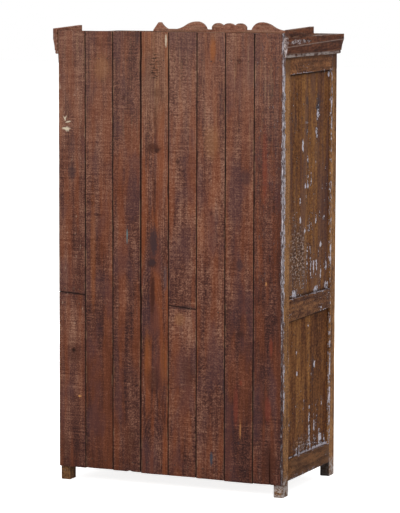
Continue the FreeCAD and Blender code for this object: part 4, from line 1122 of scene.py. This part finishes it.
side_cornice_woods = {}
for side, sign in SIDES.items():
    node = f"{side}_cornice"
    wood = cornice_finish(f"{node}_wood", DEEP, *CORNICE_TONES, *END_TONES[side], seed=101)
    side_cornice_woods[side] = wood
    outline = [(CORNICE_LOW + rise, sign * (CASE_HALF + reach)) for reach, rise in CORNICE][::-sign]
    shape = new_shape()
    lay_timber(shape, outline, DEEP, side_mitre, BOARD_FACES[1], seed=120 + sign, **CORNICE_RUN)
    fit(shape, f"{node}_wood", [wood], "case", node)
wood = cornice_finish("front_cornice_wood", ACROSS, *CORNICE_TONES, *END_TONES["right"], seed=111)
outline = [(CASE_FRONT - reach, CORNICE_LOW + rise) for reach, rise in CORNICE][::-1]
shape = new_shape()
lay_timber(shape, outline, ACROSS, left_mitre, right_mitre, seed=127, **CORNICE_RUN)
fit(shape, "front_cornice_wood", [wood], "case", "front_cornice")


# Risers and crest: low boards nailed on the rear half of the side cornices, and a sawn board dowelled on the
# front one, with a three-lobed shell between two humps. The crest and the right riser have gone pale.
CREST_ARRIS, CREST_MARGIN = 0.0014, 0.002
CREST_TONES = tone(108, 66, 52), tone(155, 103, 83), tone(190, 138, 114)
crest_wood = cornice_finish("crest_wood", ACROSS, *CREST_TONES, *END_TONES["right"], seed=131)
pale_riser_wood = cornice_finish("pale_riser_wood", DEEP, *CREST_TONES, *END_TONES["right"], seed=136)
for side, riser_wood in (("left", side_cornice_woods["left"]), ("right", pale_riser_wood)):
    node = f"{side}_riser"
    fit(softened(node, CREST_ARRIS), f"{node}_wood", [riser_wood], "case", node)
fit(softened("crest", CREST_ARRIS, CREST_MARGIN), "crest_wood", [crest_wood], "case", "crest")
crest_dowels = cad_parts["crest_dowels"].data
crest_dowels.materials.clear()
crest_dowels.materials.append(cleat_wood)


# Door frames: two stiles and two rails tenoned together, with a bevel round the opening. The upper ones are
# rebated for the glass and its beads; the lower ones are grooved for a panel. Stripped wood like the posts.
STILE, DOOR_ARRIS = 0.0551, 0.0013
DOORS = [(level, side) for level in ("upper", "lower") for side in SIDES]
door_wood = stripped_wood("stripped_door", UPRIGHT, *OCHRES, seed=141, residue=0.01)
door_rail_wood = stripped_wood("stripped_door_rail", ACROSS, *OCHRES, seed=151, residue=0.01)
woods = [door_wood, door_rail_wood]
for level, side in DOORS:
    door = f"{level}_{side}_door"
    node = f"{door}_frame"
    piece = fit(softened(node, DOOR_ARRIS), f"{node}_wood", woods, door, node)
    near, far = stretch_of(node, ACROSS)
    for face in piece.data.polygons:
        if near + STILE < face.center.x < far - STILE:
            face.material_index = 1


# Glass and beads: one pane of old drawn glass in each upper door, slightly wavy and dusty in patches, held in
# the rebate by four square beads on the inside.
BEAD_ARRIS = 0.001
pane, place = new_finish("old_glass")
dust = place.noise((30, 30, 30), 4, 0.6, 3).smooth(0.5, 0.75)
waves = place.noise((7, 7, 3.5), 2, 0.4, 8)
smear = place.noise((90, 90, 20), 3, 0.6, 5)
glass_tint = dust.over(tone(238, 246, 243), tone(226, 232, 226))
lay_on(pane, glass_tint, dust * 0.06 + smear * 0.03, waves, 0.0016, 0.5)
glass_shader = pane.node_tree.nodes["Principled BSDF"]
glass_shader.inputs["Transmission Weight"].default_value = 1
glass_shader.inputs["IOR"].default_value = 1.48
for side in SIDES:
    door, node = f"upper_{side}_door", f"upper_{side}_glass"
    low, high = (Vector(corner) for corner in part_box(node))
    shape = new_shape()
    bmesh.ops.create_cube(shape, size=1, matrix=Matrix.LocRotScale((low + high) / 2, None, high - low))
    fit(shape, f"upper_{side}_pane", [pane], door, node)
    node = f"upper_{side}_beads"
    fit(softened(node, BEAD_ARRIS), f"{node}_wood", [door_wood], door, node)


# Door panels: solid raised panels of one board, with a broad bevel round a flat field, loose in the groove of
# the lower doors. A little more of the old paint has stayed on them than on the frames.
DOOR_PANEL_ARRIS = 0.0012
DOOR_PANEL_TONES = tone(140, 101, 62), tone(108, 75, 46), tone(82, 52, 34)
door_panel_wood = stripped_wood("stripped_door_panel", UPRIGHT, *DOOR_PANEL_TONES, seed=161, residue=0.02)
for side in SIDES:
    door = f"lower_{side}_door"
    node = f"{door}_panel"
    fit(softened(node, DOOR_PANEL_ARRIS), f"{node}_wood", [door_panel_wood], door, node)


# Hinges: eight wrought butt hinges, two to a door, with their leaves let in between the door and the post and
# held by slotted screws. The pins are headed at both ends.
hinge_iron = dark_iron("hinge_iron", seed=15, rusty=0.18)
screw_tree = head_tree("screw_heads", sides=14, slotted=True)
LEAF_ARRIS, PIN_ARRIS = 0.0003, 0.0006
for node, arris in (("hinge_leaves_fixed", LEAF_ARRIS), ("hinge_pins", PIN_ARRIS)):
    fit(softened(node, arris), f"{node}_iron", [hinge_iron], "case", node)
LEAF_HALF = 0.033
DOOR_LEAF, POST_LEAF = 0.4561, 0.4565
SCREWS = ((-0.022, -0.2735), (0, -0.2695), (0.022, -0.2735))
SCREW_SIZE = (0.0055, 0.0003)
fixed_screws = []
for level, side in DOORS:
    door, node, sign = f"{level}_{side}_door", f"{level}_{side}_hinge_leaves", SIDES[side]
    fit(softened(node, LEAF_ARRIS), f"{node}_iron", [hinge_iron], door, node)
    low, high = stretch_of(node, UPRIGHT)
    screws = []
    for middle in (low + LEAF_HALF, high - LEAF_HALF):
        for rise, depth in SCREWS:
            screws.append(((sign * DOOR_LEAF, depth, middle + rise), (sign, 0, 0)))
            fixed_screws.append(((sign * POST_LEAF, depth, middle + rise), (-sign, 0, 0)))
    set_heads(f"{door}_screws", screw_tree, *SCREW_SIZE, hinge_iron, screws, door, "hinge_metal")
set_heads("case_hinge_screws", screw_tree, *SCREW_SIZE, hinge_iron, fixed_screws, "case", "hinge_metal")


# Knobs and latches: turned hardwood knobs, dark from hands. On the left doors a spigot holds them; on the
# right doors the spindle goes through the stile to a wooden tongue that turns behind the other door.
def turned_finish(name, seed):
    material, place = new_finish(name)
    ring = place.noise((30, 700, 30), 3, 0.5, seed)
    streak = place.noise((160, 26, 160), 4, 0.6, seed + 1)
    figure = streak * 0.7 + ring * 0.3
    colour = figure.ramp((0.32, tone(52, 33, 22)), (0.52, tone(86, 56, 35)), (0.7, tone(120, 82, 51)))
    worn = place.noise((90, 90, 90), 3, 0.5, seed + 2).smooth(0.45, 0.7)
    colour = (worn * 0.3).over(colour, tone(132, 94, 60))
    lay_on(material, colour, 0.3 + streak * 0.2 + worn * 0.1, ring, 0.0004, 0.45)
    return material


KNOB = (
    (0.0100, 0.0000), (0.0103, 0.0006), (0.0103, 0.0022), (0.0098, 0.0030), (0.0078, 0.0036),
    (0.0068, 0.0046), (0.0064, 0.0060), (0.0065, 0.0085), (0.0074, 0.0102), (0.0102, 0.0128),
    (0.0124, 0.0156), (0.0134, 0.0180), (0.0135, 0.0194), (0.0131, 0.0212), (0.0121, 0.0232),
    (0.0103, 0.0252), (0.0080, 0.0267), (0.0052, 0.0276), (0.0024, 0.0280),
)
KNOB_SIDES = 32
SHANK_RADIUS = 0.004


def turn_knob(shape, across, level, shank, seed):
    """A turned knob on a shank that runs back into the door: rings of points round the Y axis."""
    tip, root = (SHANK_RADIUS - 0.0004, -shank), (SHANK_RADIUS, -0.0001)
    rings = []
    for radius, reach in (tip, (SHANK_RADIUS, -shank + 0.0006), root, *KNOB):
        row = []
        for step in range(KNOB_SIDES):
            angle = 2 * math.pi * step / KNOB_SIDES
            out = radius * (1 + 0.006 * noise.noise(Vector((math.cos(angle), math.sin(angle), seed))))
            spot = (across + out * math.cos(angle), CASE_FRONT - reach, level + out * math.sin(angle))
            row.append(shape.verts.new(spot))
        rings.append(row)
    skin(shape, rings)


KNOB_X = 0.029
KNOB_LEVELS = {"upper": 1.2525, "lower": 0.428}
SPIGOT, SPINDLE = 0.014, 0.0305
TONGUE_TONES = tone(120, 84, 52), tone(92, 62, 38), tone(60, 40, 25)
TONGUE_LONG, TONGUE_HALF, TONGUE_FACES = 0.042, 0.008, (-0.259, -0.254)
TONGUE_CORNERS, TONGUE_ARRIS = 24, 0.0008
knob_wood = turned_finish("turned_wood", seed=171)
tongue_wood = stripped_wood("tongue_wood", UPRIGHT, *TONGUE_TONES, seed=181, residue=UNPAINTED)
for level, middle in KNOB_LEVELS.items():
    shape = new_shape()
    turn_knob(shape, -KNOB_X, middle, SPIGOT, seed=3)
    node = f"{level}_left_knob"
    fit(shape, f"{node}_wood", [knob_wood], f"{level}_left_door", node)
    shape = new_shape()
    turn_knob(shape, KNOB_X, middle, SPINDLE, seed=9)
    outline = []
    for step in range(TONGUE_CORNERS):
        angle = 2 * math.pi * step / TONGUE_CORNERS
        round_spindle = math.sin(angle) > -1e-6
        centre = middle if round_spindle else middle - TONGUE_LONG
        outline.append((centre + TONGUE_HALF * math.sin(angle), KNOB_X + TONGUE_HALF * math.cos(angle)))
    lay_timber(shape, outline[::-1], DEEP, *TONGUE_FACES, TONGUE_ARRIS, seed=7, finish=1, wander=0.0001)
    node = f"{level}_latch"
    fit(shape, f"{node}_wood", [knob_wood, tongue_wood], f"{level}_latch_turn", node)


# Bolts: round iron bolts with a thumb stud, on the inside of the left doors, each in two guide blocks that
# are screwed to the stile. Pushed up, they go into the rail above the door.
GUIDE_ARRIS, BOLT_ARRIS = 0.0009, 0.0007
bolt_iron = dark_iron("bolt_iron", seed=191, rusty=0.1)
for level in KNOB_LEVELS:
    node = f"{level}_bolt_guides"
    fit(softened(node, GUIDE_ARRIS), f"{node}_iron", [bolt_iron], f"{level}_left_door", node)
    node = f"{level}_bolt"
    fit(softened(node, BOLT_ARRIS), f"{node}_iron", [bolt_iron], f"{level}_bolt_slide", node)


# Floor, light and camera: a plain pale floor that runs out to white, one large soft lamp beside the camera, a
# weaker one in front of the cabinet, and a camera with the long lens and the place of the photograph's.
def to_the_eye(tree):
    """1 for what is looked at, straight, mirrored or through glass; 0 for what only lights other things."""
    ray = tree.nodes.new("ShaderNodeLightPath").outputs
    looked = Finish(tree, ray["Is Camera Ray"])
    for kind in ("Is Glossy Ray", "Is Transmission Ray"):
        looked = looked.sum("MAXIMUM", looked, Finish(tree, ray[kind]))
    return looked


FLOOR_REACH = (-40, 40)
FLOOR_GLOW = 0.85
ground = bpy.data.meshes.new("floor")
ground.from_pydata([(x, y, 0) for x, y in oblong(FLOOR_REACH, FLOOR_REACH)], [], [(0, 1, 2, 3)])
floor = bpy.data.objects.new("floor", ground)
bpy.context.scene.collection.objects.link(floor)
floor_paint, place = new_finish("floor_paint")
cloud = place.noise((3, 3, 3), 3, 0.5, 2)
colour = cloud.ramp((0.3, tone(238, 238, 238)), (0.7, tone(243, 243, 243)))
lay_on(floor_paint, colour, 0.8 + cloud * 0.1, cloud, 0.0002, 0.1)
floor_shader = floor_paint.node_tree.nodes["Principled BSDF"]
floor_shader.inputs["Emission Strength"].default_value = 1
glow = to_the_eye(floor_paint.node_tree) * FLOOR_GLOW
floor_paint.node_tree.links.new(glow.socket, floor_shader.inputs["Emission Color"])
ground.materials.append(floor_paint)
floor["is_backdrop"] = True

AMBIENT = 0.55
world = bpy.data.worlds.new("studio")
bpy.context.scene.world = world
world.use_nodes = True
sky = world.node_tree.nodes["Background"]
sky.inputs["Color"].default_value = (1, 1, 1, 1)
strength = to_the_eye(world.node_tree) * (1 - AMBIENT) + AMBIENT
world.node_tree.links.new(strength.socket, sky.inputs["Strength"])


def soft_lamp(name, spot, target, size, watts):
    lamp = bpy.data.lights.new(name, "AREA")
    lamp.shape = "SQUARE"
    lamp.size = size
    lamp.energy = watts
    holder = bpy.data.objects.new(name, lamp)
    holder.location = spot
    holder.rotation_euler = (Vector(target) - Vector(spot)).to_track_quat("-Z", "Y").to_euler()
    bpy.context.scene.collection.objects.link(holder)


soft_lamp("key_lamp", (-1.6, 6.0, 4.2), (0, 0.2, 1.0), size=3.0, watts=190)
soft_lamp("front_lamp", (1.5, -6.0, 4.0), (0, -0.2, 1.0), size=3.0, watts=150)

FOCAL_PIXELS, LONG_SIDE, SENSOR = 2701.73, 513, 36
CAMERA_SPOT = (-4.51834, 10.24268, 2.16589)
YAW, PITCH, ROLL = (math.radians(angle) for angle in (23.787, 6.301, 0.150))
camera = bpy.data.cameras.new("camera")
camera.sensor_width = SENSOR
camera.lens = FOCAL_PIXELS * SENSOR / LONG_SIDE
camera.clip_end = 200
holder = bpy.data.objects.new("camera", camera)
back = Vector((-math.sin(YAW) * math.cos(PITCH), math.cos(YAW) * math.cos(PITCH), math.sin(PITCH)))
right = Vector((0, 0, 1)).cross(back).normalized()
up = back.cross(right)
rolled_right = math.cos(ROLL) * right + math.sin(ROLL) * up
rolled_up = math.cos(ROLL) * up - math.sin(ROLL) * right
axes = Matrix((rolled_right, rolled_up, back)).transposed().to_4x4()
holder.matrix_world = Matrix.Translation(CAMERA_SPOT) @ axes
bpy.context.scene.collection.objects.link(holder)
bpy.context.scene.camera = holder
bpy.context.scene.view_settings.view_transform = "Standard"

boxes = {"cad": cad_box, "visual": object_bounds()}
{name: [list(corner) for corner in box] for name, box in boxes.items()}
